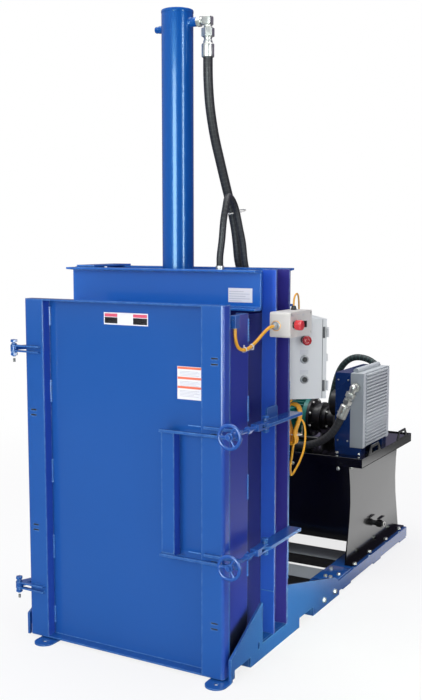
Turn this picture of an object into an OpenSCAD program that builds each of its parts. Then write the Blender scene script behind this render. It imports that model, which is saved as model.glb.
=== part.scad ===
// Hydraulic drum crusher: a welded upright frame with a chamber for one steel drum,
// a vertical cylinder on the crosshead that drives a round platen down onto the drum,
// a swing door held by two swing bolts with handwheels, and a power unit on a rear skid.
// Millimetres. Origin on the ram axis at floor level, +X to the right, +Y to the back, +Z up.

/* [Base] */
// Width over the two base side plates
frame_w = 944; // [864:1:1140]
// Thickness of the base side plates
side_t = 10; // [6:1:14]
// Distance from the ram axis forward to the front edge of the side plates
base_front = 418; // [400:1:520]
// Distance from the ram axis back to the rear edge of the side plates
base_back = 620; // [560:1:760]
// Height of the floor plate's top, where the drum stands
floor_z = 60; // [54:1:80]
// Thickness of the floor plate
floor_t = 12; // [8:1:20]
// Height of the gussets beside the columns
gusset_h = 220; // [160:1:300]
// Height of the fork pockets under the floor plate
fork_h = 40; // [30:1:42]
// Width of the fork pockets
fork_w = 143; // [110:1:150]
// Radius of the round ends of the anchor lugs
lug_r = 42; // [34:1:50]
// Diameter of the anchor bolt holes
anchor_d = 18; // [12:1:24]

/* [Columns and crosshead] */
// Depth of the column channels, front to back
column_depth = 127; // [100:1:150]
// Flange width of the column channels
column_flange = 60; // [48:1:72]
// Web thickness of every rolled channel
web_t = 8; // [5:1:10]
// Flange thickness of every rolled channel at its tip
flange_t = 8; // [5:1:10]
// Height of the crosshead's top above the floor
head_z = 1490; // [1400:1:1700]
// Height of the crosshead channels
beam_h = 152; // [127:1:180]
// Flange width of the crosshead channels
beam_flange = 56; // [40:1:70]
// Clear distance between the two crosshead webs
beam_gap = 234; // [210:1:280]
// Length of the crosshead channels
beam_len = 874; // [840:1:900]
// Thickness of the plates between the crosshead channels
tie_t = 12; // [8:1:16]

/* [Chamber] */
// Wall thickness of the U-shaped chamber shell
shell_t = 5; // [3:1:6]
// Height of the shell's top edge
shell_z = 1325; // [1260:1:1330]
// Depth of the door posts, front to back
post_depth = 145; // [120:1:160]
// Width of the door posts' flanges
post_w = 48; // [40:1:60]
// Distance from the side plate's outer face in to the door post's outer face
post_inset = 30; // [24:1:40]

/* [Door] */
// Width of the door
door_w = 894; // [824:1:900]
// Height of the door's top edge above the floor
door_top = 1374; // [1300:1:1500]
// Gap between the floor and the door
door_foot = 10; // [8:1:30]
// Depth of the door from the stile faces to the back of the panel
door_depth = 48; // [40:1:60]
// How far the stile faces stand forward of the side plates
door_proud = 12; // [6:1:30]
// Gap between the door's back and the door posts
door_gap = 2; // [1:0.5:6]
// Width of the door's formed side stiles
stile_w = 92; // [70:1:110]
// Sheet thickness of the door
door_t = 5; // [3:1:6]
// Outer edge radius of the stiles
stile_r = 12; // [6:1:16]
// Height of the two hinges above and below the door's middle
hinge_rise = 484; // [400:1:560]
// Height of the two latches above and below the door's middle
latch_rise = 233; // [180:1:300]
// Opening angle of the door
door_swing = 115; // [90:1:150]

/* [Latches] */
// Distance from the side plate's outer face out to the swing bolts
latch_out = 28; // [22:1:40]
// Diameter of the swing bolts
bolt_d = 16; // [12:1:20]
// Distance from the ram axis forward to the swing bolts' pivots
latch_pivot = 205; // [180:1:240]
// Diameter of the latch and hinge pins
pin_d = 14; // [10:1:16]
// Outer diameter of the handwheels
wheel_d = 96; // [80:1:120]
// Thickness of the handwheel rims
rim_d = 11; // [8:1:14]
// Gap between a closed handwheel's collar and the door's keeper bars
latch_gap = 1.4; // [1.2:0.1:3]

/* [Cylinder] */
// Outer diameter of the cylinder barrel
barrel_d = 127; // [114:1:140]
// Cylinder bore
bore_d = 101.6; // [80:0.1:102]
// Piston rod diameter
rod_d = 63.5; // [50:0.5:70]
// Overall height to the top of the cylinder
top_z = 2502; // [2300:1:2700]
// Stroke of the ram
stroke = 950; // [800:1:960]
// Diameter of the platen
platen_d = 600; // [560:1:640]
// Height of the platen's face above the floor with the ram retracted
platen_z = 1200; // [1100:1:1220]
// Running clearance on the radius of the rod and the piston
fit = 0.05; // [0.02:0.01:0.1]

/* [Controls] */
// Size of the pushbutton station: out from the column, front to back, height
station = [84, 198, 95];
// Height of the station's middle
station_z = 1286; // [1200:1:1320]
// Width of the control cabinet's front wall
cabinet_w = 144; // [130:1:150]
// Depth of the control cabinet
cabinet_depth = 250; // [180:1:260]
// Height of the control cabinet
cabinet_h = 326; // [280:1:360]
// Height of the control cabinet's underside
cabinet_z = 958; // [900:1:1000]
// Angle of the cabinet's front wall from square, turned to face the operator
cabinet_turn = 40; // [35:1:45]

/* [Power unit] */
// Distance from the ram axis back to the rear end of the skid
skid_back = 1607; // [1590:1:1800]
// Height of the skid
skid_z = 58; // [52:1:80]
// Width of the skid's side rails
rail_w = 117; // [100:1:140]
// Height of the reservoir's top
tank_top = 535; // [480:1:600]
// Length of the reservoir, left to right
tank_w = 600; // [500:1:680]
// Width of the reservoir, front to back
tank_d = 715; // [620:1:730]
// Height of the cover's rim
cover_h = 38; // [30:1:50]
// Diameter of the motor's finned frame
motor_d = 200; // [170:1:220]
// Height of the oil cooler's core
cooler_h = 359; // [300:1:380]
// Depth of the oil cooler, front to back
cooler_d = 364; // [300:1:380]

/* [Hidden] */
$fn = 48;

blue = [0.10, 0.30, 0.62];
pale_grey = [0.72, 0.73, 0.73];
zinc = [0.75, 0.75, 0.73];
black = [0.05, 0.05, 0.06];
teal = [0.02, 0.30, 0.30];
yellow = [0.90, 0.62, 0.08];

half_w = frame_w / 2;
web_x = half_w - column_flange;
door_face = -base_front - door_proud;
door_back = door_face + door_depth;
post_front = door_back + door_gap;
post_rear = post_front + post_depth;
post_x = half_w - post_inset;
post_z = shell_z + 10;
beam_z = head_z - beam_h;
beam_y = beam_gap / 2;
door_mid = (door_foot + door_top) / 2;
bar_lift = 10.5;
contact = 0.3;
tank_x = web_x;
tank_y = 865;
lid_y = tank_y - 8;
motor_x = [-230, 94];
motor_y = lid_y + 316;
motor_z = tank_top + cover_h + motor_d / 2 + 25;
cooler_y = lid_y + 88;

// ---- shared profiles ----

// A plate drawn in Y and Z, from x = x0 to x0 + t
module plate_yz(x0, t) {
    translate([x0, 0, 0]) rotate([90, 0, 90]) linear_extrude(t) children();
}

// A plate drawn in X and Z, from y = y0 to y0 + t
module plate_xz(y0, t) {
    translate([0, y0 + t, 0]) rotate([90, 0, 0]) linear_extrude(t) children();
}

// The same piece on both sides of the machine's centre plane
module both_sides() {
    children();
    mirror([1, 0, 0]) children();
}

// Rolled channel: back of the web on x = 0, flanges tapering towards their tips
module channel_2d(depth, flange) {
    root_t = flange_t * 1.5;
    polygon([[0, -depth / 2], [flange, -depth / 2], [flange, -depth / 2 + flange_t],
             [web_t, -depth / 2 + root_t], [web_t, depth / 2 - root_t],
             [flange, depth / 2 - flange_t], [flange, depth / 2], [0, depth / 2]]);
}

// Rectangle from the origin with round corners of radius r
module round_rect(w, h, r) {
    translate([r, 0]) square([w - 2 * r, h]);
    translate([0, r]) square([w, h - 2 * r]);
    for (x = [r, w - r], y = [r, h - r]) translate([x, y]) circle(r);
}

// Slot along X, centred, of overall length l and width w
module slot_2d(l, w) {
    square([l - w, w], center = true);
    for (s = [-1, 1]) translate([s * (l - w) / 2, 0]) circle(w / 2);
}

// Hexagonal nut or bolt head standing on z = 0
module hexagon(across, h) {
    cylinder(d = across / cos(30), h = h, $fn = 6);
}

// ---- swept hoses and cables ----

function unit(v) = v / norm(v);

// Point at u, from 0 to 1, between b and c on a smooth curve through a, b, c and d
function blend_point(a, b, c, d, u) =
    ((2 * b) + (c - a) * u + (2 * a - 5 * b + 4 * c - d) * u * u
     + (3 * b - a - 3 * c + d) * u * u * u) / 2;

// A route's points with n steps in each span
function smooth_route(p, n) = [
    for (i = [0 : len(p) - 2], k = [0 : n - 1])
        blend_point(p[max(i - 1, 0)], p[i], p[i + 1], p[min(i + 2, len(p) - 1)], k / n),
    p[len(p) - 1]];

// Direction of the route at point i, which starts along a and ends along b
function heading(p, i, a, b) =
    i == 0 ? a : i == len(p) - 1 ? b : unit(unit(p[i + 1] - p[i]) + unit(p[i] - p[i - 1]));

// A side vector carried along the route without twist
function side_vectors(p, i, prev, a, b) =
    i >= len(p) ? [] :
    let (t = heading(p, i, a, b), s = unit(prev - (prev * t) * t))
    concat([s], side_vectors(p, i + 1, s, a, b));

// Tube of diameter d along points p, from direction a to direction b, closed at both ends
module tube_along(p, d, a, b, sides) {
    sv = side_vectors(p, 0, abs(a[1]) > 0.7 ? [1, 0, 0] : [0, 1, 0], a, b);
    rings = [for (i = [0 : len(p) - 1], k = [0 : sides - 1])
        let (t = heading(p, i, a, b), s = sv[i], b = cross(t, s), a = 360 * k / sides)
        p[i] + (s * cos(a) + b * sin(a)) * d / 2];
    last = (len(p) - 1) * sides;
    walls = [for (i = [0 : len(p) - 2], k = [0 : sides - 1])
        let (n = (k + 1) % sides)
        [i * sides + k, (i + 1) * sides + k, (i + 1) * sides + n, i * sides + n]];
    polyhedron(rings, concat(walls,
        [[for (k = [0 : sides - 1]) k], [for (k = [sides - 1 : -1 : 0]) last + k]]), convexity = 4);
}

// ---- base ----

notch_front = -column_depth / 2 - 98;
notch_rear = column_depth / 2;
gusset_base = 28;
gusset_tail = 93;
fork_y = [-base_front + 13, 182];
sill_y = post_front;
side_slot = [14, 28];

module side_plate_2d() {
    difference() {
        polygon([[-base_front, 0], [-base_front, floor_z + gusset_base],
                 [notch_front - 11, gusset_h], [notch_front, gusset_h],
                 [notch_front, floor_z], [notch_rear, floor_z], [notch_rear, gusset_h],
                 [base_back - 45, gusset_tail], [base_back, floor_z], [base_back, 0]]);
        for (y = fork_y) translate([y, -1]) square([fork_w, fork_h + 1]);
        translate([notch_front - 32, floor_z]) rotate(90) slot_2d(side_slot[1], side_slot[0]);
    }
}

module side_plates() {
    color(blue) both_sides() plate_yz(half_w - side_t, side_t) side_plate_2d();
}

floor_front = post_front;
floor_rear = web_x + 14;

module floor_plate() {
    color(blue) translate([-half_w + side_t, floor_front, floor_z - floor_t])
        cube([frame_w - 2 * side_t, floor_rear - floor_front, floor_t]);
}

lug_pos = [[-352, -base_front - 39], [half_w - 40, -base_front - 39]];
lug_t = 6;

module anchor_lug(p) {
    difference() {
        union() {
            translate([p[0], p[1], 0]) cylinder(r = lug_r, h = lug_t);
            translate([p[0] - lug_r, p[1], 0]) cube([2 * lug_r, sill_y - p[1], lug_t]);
        }
        translate([p[0], p[1], -1]) cylinder(d = anchor_d, h = lug_t + 2);
        translate([half_w - side_t, -base_front, -1]) cube([side_t * 3, base_front, lug_t + 2]);
    }
}

module base_beams() {
    inner = half_w - side_t;
    under = floor_z - floor_t;
    bar_t = 10;
    color(blue) {
        // load beam under the ram, an I-section from side plate to side plate
        for (z = [0, under - 9]) translate([-inner, -60, z]) cube([2 * inner, 120, 9]);
        translate([-inner, -5, 0]) cube([2 * inner, 10, under]);
        // flat bars on edge at the front sill and beside the fork pockets
        for (y = [sill_y, fork_y[0] + fork_w, fork_y[1] - bar_t, fork_y[1] + fork_w])
            translate([-inner, y, 0]) cube([2 * inner, bar_t, under]);
        for (p = lug_pos) anchor_lug(p);
    }
}

// ---- uprights and chamber ----

module column_right() {
    color(blue) translate([web_x, 0, floor_z]) linear_extrude(head_z - floor_z)
        channel_2d(column_depth, column_flange);
}

module column_left() {
    mirror([1, 0, 0]) column_right();
}

module door_posts() {
    color(blue) both_sides()
        translate([post_x, (post_front + post_rear) / 2, floor_z]) mirror([1, 0, 0])
            linear_extrude(post_z - floor_z) channel_2d(post_depth, post_w);
}

// U-shaped in plan: two straight sides behind the door posts and a half round back
module chamber_2d(r) {
    circle(r, $fn = 96);
    translate([-r, post_rear - 1]) square([2 * r, 1 - post_rear]);
}

module chamber_shell() {
    color(blue) translate([0, 0, floor_z]) linear_extrude(shell_z - floor_z)
        intersection() {
            difference() {
                chamber_2d(web_x);
                chamber_2d(web_x - shell_t);
            }
            translate([-frame_w, post_rear]) square([2 * frame_w, 2 * frame_w]);
        }
}

// ---- crosshead ----

module crosshead_beam() {
    color(blue) translate([-beam_len / 2, -beam_y, head_z - beam_h / 2]) rotate([90, 0, 90])
        linear_extrude(beam_len) mirror([1, 0]) channel_2d(beam_h, beam_flange);
}

module crosshead_front() {
    crosshead_beam();
}

module crosshead_rear() {
    mirror([0, 1, 0]) crosshead_beam();
}

seat_z = head_z - 50;
seat_w = 220;

module crosshead_plates() {
    color(blue) {
        // ties between the webs, welded to the columns' backs
        both_sides() translate([web_x - tie_t, -beam_y, beam_z + 8])
            cube([tie_t, beam_gap, beam_h - 16]);
        // seat plate that the cylinder's flange is bolted down to
        difference() {
            translate([-seat_w / 2, -beam_y, seat_z - 25]) cube([seat_w, beam_gap, 25]);
            translate([0, 0, seat_z - 26]) cylinder(d = barrel_d + 1, h = 27, $fn = 96);
        }
        // stiffeners under the seat plate, the right one with a hole for the rod side line
        both_sides() difference() {
            translate([seat_w / 2 - tie_t, -beam_y, beam_z + 8])
                cube([tie_t, beam_gap, seat_z - 25 - beam_z - 8]);
            translate([0, 0, rod_line_z]) rotate([0, 90, 0]) cylinder(d = line_d + 4, h = seat_w);
        }
        // cap plate over the left column
        translate([-beam_len / 2, -100, head_z]) cube([90, 270, 8]);
    }
}

// ---- cylinder ----

barrel_z = beam_z - 8;
line_d = 22;
rod_line_z = seat_z - 49;
boss_x = barrel_d / 2 + 14;
cap_h = 85;
gland_h = 34;
port_z = top_z - 53;
flange_h = 22;

module cylinder_barrel() {
    color(blue) difference() {
        union() {
            translate([0, 0, barrel_z]) cylinder(d = barrel_d, h = top_z - cap_h - barrel_z, $fn = 96);
            translate([0, 0, seat_z]) cylinder(d = beam_gap - 24, h = flange_h, $fn = 96);
            translate([0, 0, rod_line_z]) rotate([0, 90, 0]) cylinder(d = 34, h = boss_x);
        }
        translate([0, 0, barrel_z - 1]) cylinder(d = bore_d, h = top_z - barrel_z, $fn = 96);
    }
}

port_x = 139;
port_turn = 26;

module cylinder_cap() {
    color(blue) {
        translate([0, 0, top_z - cap_h]) cylinder(d = barrel_d - 4, h = cap_h - 14, $fn = 96);
        translate([0, 0, top_z - 14]) rotate_extrude($fn = 96)
            polygon([[0, 0], [barrel_d / 2 - 2, 0], [barrel_d / 2 + 1, 3], [barrel_d / 2 + 1, 10],
                     [barrel_d / 2 - 3, 14], [0, 14]]);
        // port boss on the right and bleed boss on the left
        translate([0, 0, port_z]) rotate([0, 90, 0]) cylinder(d = 36, h = 92);
        translate([0, 0, port_z - 14]) rotate([0, -90, 0]) cylinder(d = 30, h = 84);
        translate([-84, 0, port_z - 14]) rotate([0, -90, 0]) hexagon(26, 18);
    }
}

module rod_gland() {
    color(zinc) difference() {
        union() {
            translate([0, 0, barrel_z]) cylinder(d = bore_d, h = gland_h, $fn = 96);
            translate([0, 0, barrel_z - 10]) cylinder(d = barrel_d - 8, h = 10, $fn = 96);
        }
        translate([0, 0, barrel_z - 11]) cylinder(d = rod_d + 2 * fit, h = gland_h + 12, $fn = 96);
    }
}

rod_port = [193, 0];

// Elbows, nuts and crimped ends at the cylinder's ports and at the oil cooler
module hose_fittings() {
    cooler_fittings();
    color(zinc) {
        translate([92, 0, port_z]) rotate([0, 90, 0]) hexagon(38, 16);
        translate([108, 0, port_z]) rotate([0, 90, 0]) cylinder(d = 30, h = port_x - port_turn - 108);
        translate([port_x - port_turn, 0, port_z - port_turn]) rotate([90, 0, 0])
            rotate_extrude(angle = 90) translate([port_turn, 0]) circle(d = 30);
        translate([port_x, 0, port_z - port_turn - 4]) cylinder(d = 30, h = 4);
        translate([port_x, 0, port_z - port_turn - 38]) hexagon(46, 34);
        translate([port_x, 0, port_z - port_turn - 60]) cylinder(d = 34, h = 22);
        translate([port_x, 0, hose_top]) cylinder(d = 50, h = port_z - port_turn - 60 - hose_top);
        // straight fitting of the rod side line, standing on the front crosshead plate
        translate([rod_port[0], rod_port[1], rod_line_z]) cylinder(d = line_d, h = 71);
        translate([rod_port[0], rod_port[1], rod_line_z]) sphere(d = line_d);
        translate([rod_port[0], rod_port[1], seat_z + 22]) hexagon(32, 16);
        translate([rod_port[0], rod_port[1], seat_z + 38]) cylinder(d = 33, h = 22);
        translate([boss_x, 0, rod_line_z]) rotate([0, 90, 0])
            cylinder(d = line_d, h = rod_port[0] - boss_x);
    }
}

hose_top = port_z - port_turn - 113;
hose_d = 38;
return_d = 27;
return_foot = seat_z + 60;
block_x = [-85, 75];
block_y = [lid_y + 83, lid_y + 173];
block_z = tank_top + cover_h;
block_h = 90;
port_y = block_y[0] - 30;
port_pitch = 56;
hose_port_z = block_z + block_h / 2;

press_route = [
    [port_x, 0, hose_top], [138, 3, hose_top - 80], [136, 18, 2141], [134, 42, 2066],
    [133, 70, 1997], [135, 104, 1922], [137, 140, 1844], [140, 170, 1777],
    [144, 194, 1716], [149, 214, 1643], [151, 226, 1580], [153, 238, 1509],
    [163, 262, 1451], [181, 300, 1400], [204, 370, 1350], [222, 416, 1282],
    [230, 446, 1180], [226, 456, 1050], [205, 478, 920], [165, 540, 810],
    [108, 615, 725], [52, 680, 678], [10, 740, 649], [-18, 800, 631],
    [-28, 850, 622], [-30, 880, hose_port_z + 1], [-30, port_y, hose_port_z]];

return_route = [
    [rod_port[0], rod_port[1], return_foot], [193, 0, return_foot + 35], [201, 2, 1600],
    [203, 12, 1680], [199, 38, 1735], [191, 62, 1765], [184, 90, 1776],
    [182, 118, 1767], [184, 141, 1741], [187, 155, 1708], [193, 172, 1642],
    [197, 188, 1588], [199, 202, 1511], [206, 220, 1452], [222, 266, 1410],
    [243, 326, 1360], [258, 384, 1280], [264, 412, 1180], [258, 428, 1050],
    [244, 462, 920], [204, 535, 805], [148, 620, 722], [98, 690, 680],
    [60, 742, 652], [37, 800, 633], [28, 850, 622], [26, 880, hose_port_z + 1],
    [26, port_y, hose_port_z]];

module pressure_hose() {
    color(black) tube_along(smooth_route(press_route, 1), hose_d, [0, 0, -1], [0, 1, 0], 10);
}

module return_hose() {
    color(black) tube_along(smooth_route(return_route, 1), return_d, [0, 0, 1], [0, 1, 0], 10);
}

// ---- door ----

half_door = door_w / 2;
door_h = door_top - door_foot;
hinge_z = [door_mid - hinge_rise, door_mid + hinge_rise];
latch_z = [door_mid - latch_rise, door_mid + latch_rise];
slot_pitch = 21;
slot_edge = 38;
bar_w = 16;

module door_panel() {
    back = door_back - door_t;
    lip = door_back - door_face - door_t;
    color(blue) {
        translate([-half_door, back, door_foot]) cube([door_w, door_t, door_h]);
        for (z = [door_foot, door_top - 6])
            translate([stile_w - half_door, door_face, z]) cube([door_w - 2 * stile_w, lip, 6]);
    }
}

// Stile outline, its front wall on y = 0, with the door's outer edge rounded
module stile_2d(w, d, r) {
    square([w - r, d]);
    translate([0, r]) square([w, d - r]);
    translate([w - r, r]) circle(r);
}

module door_stiles() {
    deep = door_depth - door_t;
    color(blue) both_sides() difference() {
        translate([half_door - stile_w, door_face, door_foot]) linear_extrude(door_h)
            stile_2d(stile_w, deep, stile_r);
        translate([half_door - stile_w + door_t, door_face + door_t, door_foot + door_t])
            linear_extrude(door_h - 2 * door_t)
                stile_2d(stile_w - 2 * door_t, deep, stile_r - door_t);
        // slots for hinge straps or keeper bars, so that either hand fits
        for (z = concat(hinge_z, latch_z), s = [-1, 1])
            translate([half_door - slot_edge, door_face - 1, z + s * slot_pitch / 2])
                rotate([-90, 0, 0]) linear_extrude(door_t + 2) slot_2d(28, 5);
    }
}

brace_x = [185, 240];
bar_h = 10;
bar_gap = bolt_d + 2;
bar_end = half_w + latch_out + 22;

module keeper_bar(x, z) {
    translate([x, door_face - bar_w, z]) cube([bar_end - x, bar_w, bar_h]);
}

module door_brace() {
    deep = door_depth - door_t;
    w = brace_x[1] - brace_x[0];
    foot = latch_z[0] - 18;
    color(blue) {
        translate([brace_x[0], door_face, foot]) difference() {
            cube([w, deep, latch_z[1] - latch_z[0]]);
            translate([door_t, door_t, -1]) cube([w - 2 * door_t, deep, latch_z[1] - latch_z[0] + 2]);
        }
        for (z = latch_z) {
            keeper_bar(brace_x[0], z - bar_gap / 2 - bar_h);
            keeper_bar(half_door - stile_w + 19, z + bar_gap / 2);
        }
    }
}

// ---- hinges ----

hinge_x = -half_w - 25;
hinge_y = door_face - 6;
hinge_eye = 14;
hinge_t = 14.4;
strap_t = 6;
strap_end = -370;
pin_hole = pin_d + 2 * fit;

module hinge_lugs() {
    color(blue) for (z = hinge_z)
        translate([0, 0, z - hinge_t / 2]) linear_extrude(hinge_t) difference() {
            union() {
                translate([hinge_x, hinge_y]) circle(hinge_eye);
                polygon([[-post_x, post_front + 8], [-post_x, post_front + 45],
                         [-post_x - 38, post_front + 45], [hinge_x - hinge_eye, hinge_y + 34],
                         [hinge_x - hinge_eye, hinge_y], [hinge_x + hinge_eye, hinge_y],
                         [hinge_x + hinge_eye, hinge_y + 11], [-post_x - 16, post_front + 8]]);
            }
            translate([hinge_x, hinge_y]) circle(d = pin_hole);
        }
}

module hinge_straps() {
    color(blue) for (z = hinge_z, s = [-1, 1])
        translate([0, 0, z + s * (hinge_t / 2 + contact + strap_t / 2) - strap_t / 2])
            linear_extrude(strap_t) difference() {
                union() {
                    translate([hinge_x, hinge_y]) circle(hinge_eye);
                    translate([hinge_x, door_face - bar_w]) square([strap_end - hinge_x, bar_w]);
                }
                translate([hinge_x, hinge_y]) circle(d = pin_hole);
            }
}

// ---- latches ----

latch_x = half_w + latch_out;
bracket_t = 12;
bracket_r = 28;
arm_t = 6;
arm_r = 16;
arm_z = bracket_t / 2 + contact;
block_near = latch_pivot + 57;
block_far = latch_pivot + 88;

module latch_brackets() {
    color(blue) {
        for (z = latch_z) translate([0, 0, z - bracket_t / 2]) linear_extrude(bracket_t)
            difference() {
                union() {
                    translate([half_w, -latch_pivot])
                        square([latch_out + bracket_r, latch_pivot + column_depth / 2]);
                    translate([latch_x, -latch_pivot]) circle(bracket_r);
                }
                translate([latch_x, -latch_pivot]) circle(d = pin_hole);
            }
        // stop plate on the upper bracket
        translate([half_w, -150, latch_z[1] + bracket_t / 2]) rotate([90, 0, 90]) linear_extrude(8)
            union() {
                square([90, 30]);
                translate([14, 0]) square([62, 44]);
                for (y = [14, 76]) translate([y, 30]) circle(14);
            }
    }
}

// Pivot pin through a stack from z = -under to z = over, with a head, collars and a nut
module pivot_pin(under, over, end_gap) {
    translate([0, 0, -under]) cylinder(d = pin_d, h = under + over);
    translate([0, 0, end_gap]) cylinder(d = pin_d + 8, h = 5);
    translate([0, 0, over - 10]) hexagon(24, 10);
    translate([0, 0, -end_gap - 5]) cylinder(d = pin_d + 8, h = 5);
    translate([0, 0, -under + 4]) hexagon(24, 11);
}

module pivot_pins() {
    hinge_stack = hinge_t / 2 + contact + strap_t;
    latch_stack = arm_z + arm_t;
    color(zinc) {
        for (z = hinge_z) translate([hinge_x, hinge_y, z]) pivot_pin(33, 34, hinge_stack + contact);
        for (z = latch_z) translate([latch_x, -latch_pivot, z]) pivot_pin(33, 32, latch_stack + contact);
    }
}

rod_end = latch_pivot + 295;

// Fork round the bracket, threaded rod and jam nut, drawn at the pivot pointing forward
module swing_bolt(z) {
    color(blue) translate([latch_x, 0, z]) {
        difference() {
            union() {
                for (s = [-1, 1]) translate([0, 0, s * (arm_z + arm_t / 2) - arm_t / 2])
                    linear_extrude(arm_t) {
                        translate([0, -latch_pivot]) circle(arm_r);
                        translate([-arm_r, -block_far]) square([2 * arm_r, block_far - latch_pivot]);
                    }
                translate([-arm_r, -block_far, -arm_z - arm_t])
                    cube([2 * arm_r, block_far - block_near, 2 * (arm_z + arm_t)]);
            }
            translate([0, -latch_pivot, -50]) cylinder(d = pin_hole, h = 100);
        }
        translate([0, -block_far + 2, 0]) rotate([90, 0, 0])
            cylinder(d = bolt_d, h = rod_end - block_far + 2);
        translate([0, -latch_pivot - 125, 0]) rotate([90, 0, 0]) hexagon(24, 25);
    }
}

module swing_bolt_lower() {
    swing_bolt(latch_z[0]);
}

module swing_bolt_upper() {
    swing_bolt(latch_z[1]);
}

washer_t = 2.4;
washer_front = door_face - bar_w - latch_gap - washer_t;
hub_back = washer_front - 0.2;
hub_len = 41;
rim_y = hub_back - 36;
rim_r = (wheel_d - rim_d) / 2;

// Thrust washer that slides along the rod ahead of the handwheel
module latch_washer(z) {
    color(zinc) translate([latch_x, washer_front + washer_t, z]) rotate([90, 0, 0]) difference() {
        cylinder(d = bolt_d + 16, h = washer_t);
        translate([0, 0, -1]) cylinder(d = bolt_d + 4 * fit, h = washer_t + 2);
    }
}

module latch_washer_lower() {
    latch_washer(latch_z[0]);
}

module latch_washer_upper() {
    latch_washer(latch_z[1]);
}

module handwheel(z) {
    color(blue) translate([latch_x, hub_back, z]) rotate([90, 0, 0]) difference() {
        union() {
            cylinder(d = bolt_d + 14, h = hub_len);
            translate([0, 0, hub_back - rim_y]) {
                rotate_extrude() translate([rim_r, 0]) circle(d = rim_d);
                for (a = [90, 210, 330]) rotate([0, 90, a])
                    translate([0, 0, bolt_d / 2 + 3]) cylinder(d = 9, h = rim_r - bolt_d / 2 - 3);
            }
        }
        translate([0, 0, -1]) cylinder(d = bolt_d + 2 * fit, h = hub_len + 2);
    }
}

module handwheel_lower() {
    handwheel(latch_z[0]);
}

module handwheel_upper() {
    handwheel(latch_z[1]);
}

// ---- ram ----

piston_h = 60;
piston_z = top_z - cap_h - 10 - piston_h;
hub_z = platen_z + 60;
platen_t = 20;

module piston_rod() {
    color(zinc) {
        translate([0, 0, hub_z - 30]) cylinder(d = rod_d, h = piston_z - hub_z + 31, $fn = 96);
        translate([0, 0, piston_z]) cylinder(d = bore_d - 2 * fit, h = piston_h, $fn = 96);
    }
}

module platen() {
    color(blue) difference() {
        union() {
            translate([0, 0, platen_z]) cylinder(d = platen_d, h = platen_t, $fn = 96);
            translate([0, 0, platen_z]) cylinder(d = 110, h = hub_z - platen_z, $fn = 96);
            for (a = [0 : 45 : 315]) rotate(a) translate([50, 5, platen_z + platen_t])
                rotate([90, 0, 0]) linear_extrude(10)
                    polygon([[0, 0], [platen_d / 2 - 70, 0], [platen_d / 2 - 70, 8], [0, 38]]);
        }
        translate([0, 0, hub_z - 30]) cylinder(d = rod_d, h = 40, $fn = 96);
    }
}

// ---- pushbutton station on the right column ----

station_y = -118;
station_foot = station_z - station[2] / 2;
station_face = half_w + station[0];
cover_t = 6;
stud_y = -85;
knob_y = -25;

module station_profile(inset) {
    translate([station_y + inset, station_foot + inset])
        round_rect(station[1] - 2 * inset, station[2] - 2 * inset, 9 - inset);
}

module station_box() {
    color(pale_grey) {
        difference() {
            plate_yz(half_w, station[0] - cover_t - 0.2) station_profile(0);
            plate_yz(half_w + 4, station[0]) station_profile(4);
        }
        difference() {
            plate_yz(station_face - cover_t, cover_t) station_profile(0);
            for (y = [stud_y, knob_y]) translate([station_face - 10, y, station_z])
                rotate([0, 90, 0]) cylinder(d = 12.6, h = 20);
        }
    }
}

module station_mushroom() {
    color([0.85, 0.42, 0.36]) translate([0, stud_y, station_z]) rotate([0, 90, 0]) {
        translate([0, 0, station_face - 12]) cylinder(d = 12, h = 26);
        translate([0, 0, station_face + 13]) cylinder(d = 24, h = 10);
        translate([0, 0, station_face + 22]) cylinder(d = 38, h = 10);
        translate([0, 0, station_face + 32]) cylinder(d1 = 38, d2 = 28, h = 5);
    }
}

module station_knob() {
    color(black) translate([0, knob_y, station_z]) rotate([0, 90, 0]) {
        translate([0, 0, station_face - 12]) cylinder(d = 12, h = 18);
        translate([0, 0, station_face + 5.3]) cylinder(d = 25, h = 10);
        translate([-12, -4, station_face + 15]) cube([24, 8, 10]);
    }
}

// ---- control cabinet ----

cabinet_pos = [half_w + 58, column_depth / 2 + 189.5, 0];
cabinet_top = cabinet_z + cabinet_h;
cab_wall = 3;
door_lip = 17;
stop_x = -cabinet_w / 2 - 4;
button_z = [cabinet_top - 84, cabinet_top - 164, cabinet_top - 246];

// Children drawn at the cabinet's right front corner, x through its width, y into its depth
module at_cabinet() {
    translate(cabinet_pos) rotate(cabinet_turn) children();
}

// Place in plan of a point given in the cabinet's own directions
function cabinet_point(x, y) = [
    cabinet_pos[0] + x * cos(cabinet_turn) - y * sin(cabinet_turn),
    cabinet_pos[1] + x * sin(cabinet_turn) + y * cos(cabinet_turn)];

module cabinet_box() {
    color(pale_grey) at_cabinet() difference() {
        translate([-cabinet_w, 0, cabinet_z]) cube([cabinet_w - 1, cabinet_depth, cabinet_h]);
        translate([-cabinet_w + cab_wall, cab_wall, cabinet_z + cab_wall])
            cube([cabinet_w, cabinet_depth - 2 * cab_wall, cabinet_h - 2 * cab_wall]);
        for (z = button_z) translate([stop_x, -1, z]) rotate([-90, 0, 0])
            cylinder(d = 20.6, h = cab_wall + 2);
    }
}

cab_hinge = [20, -5];

module cabinet_door() {
    color(pale_grey) at_cabinet() {
        difference() {
            translate([0, 0, cabinet_z]) cube([door_lip, cabinet_depth, cabinet_h]);
            translate([-1, 2, cabinet_z + 2])
                cube([door_lip - 1, cabinet_depth - 4, cabinet_h - 4]);
        }
        for (z = [cabinet_z + 34, cabinet_top - 74]) {
            translate([cab_hinge[0], cab_hinge[1], z]) cylinder(d = 9, h = 40);
            translate([door_lip, cab_hinge[1], z]) cube([3, 16, 40]);
        }
        // screw clamp that holds the free edge
        translate([door_lip, 24, cabinet_z + 150]) cube([13, 12, 30]);
    }
}

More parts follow.
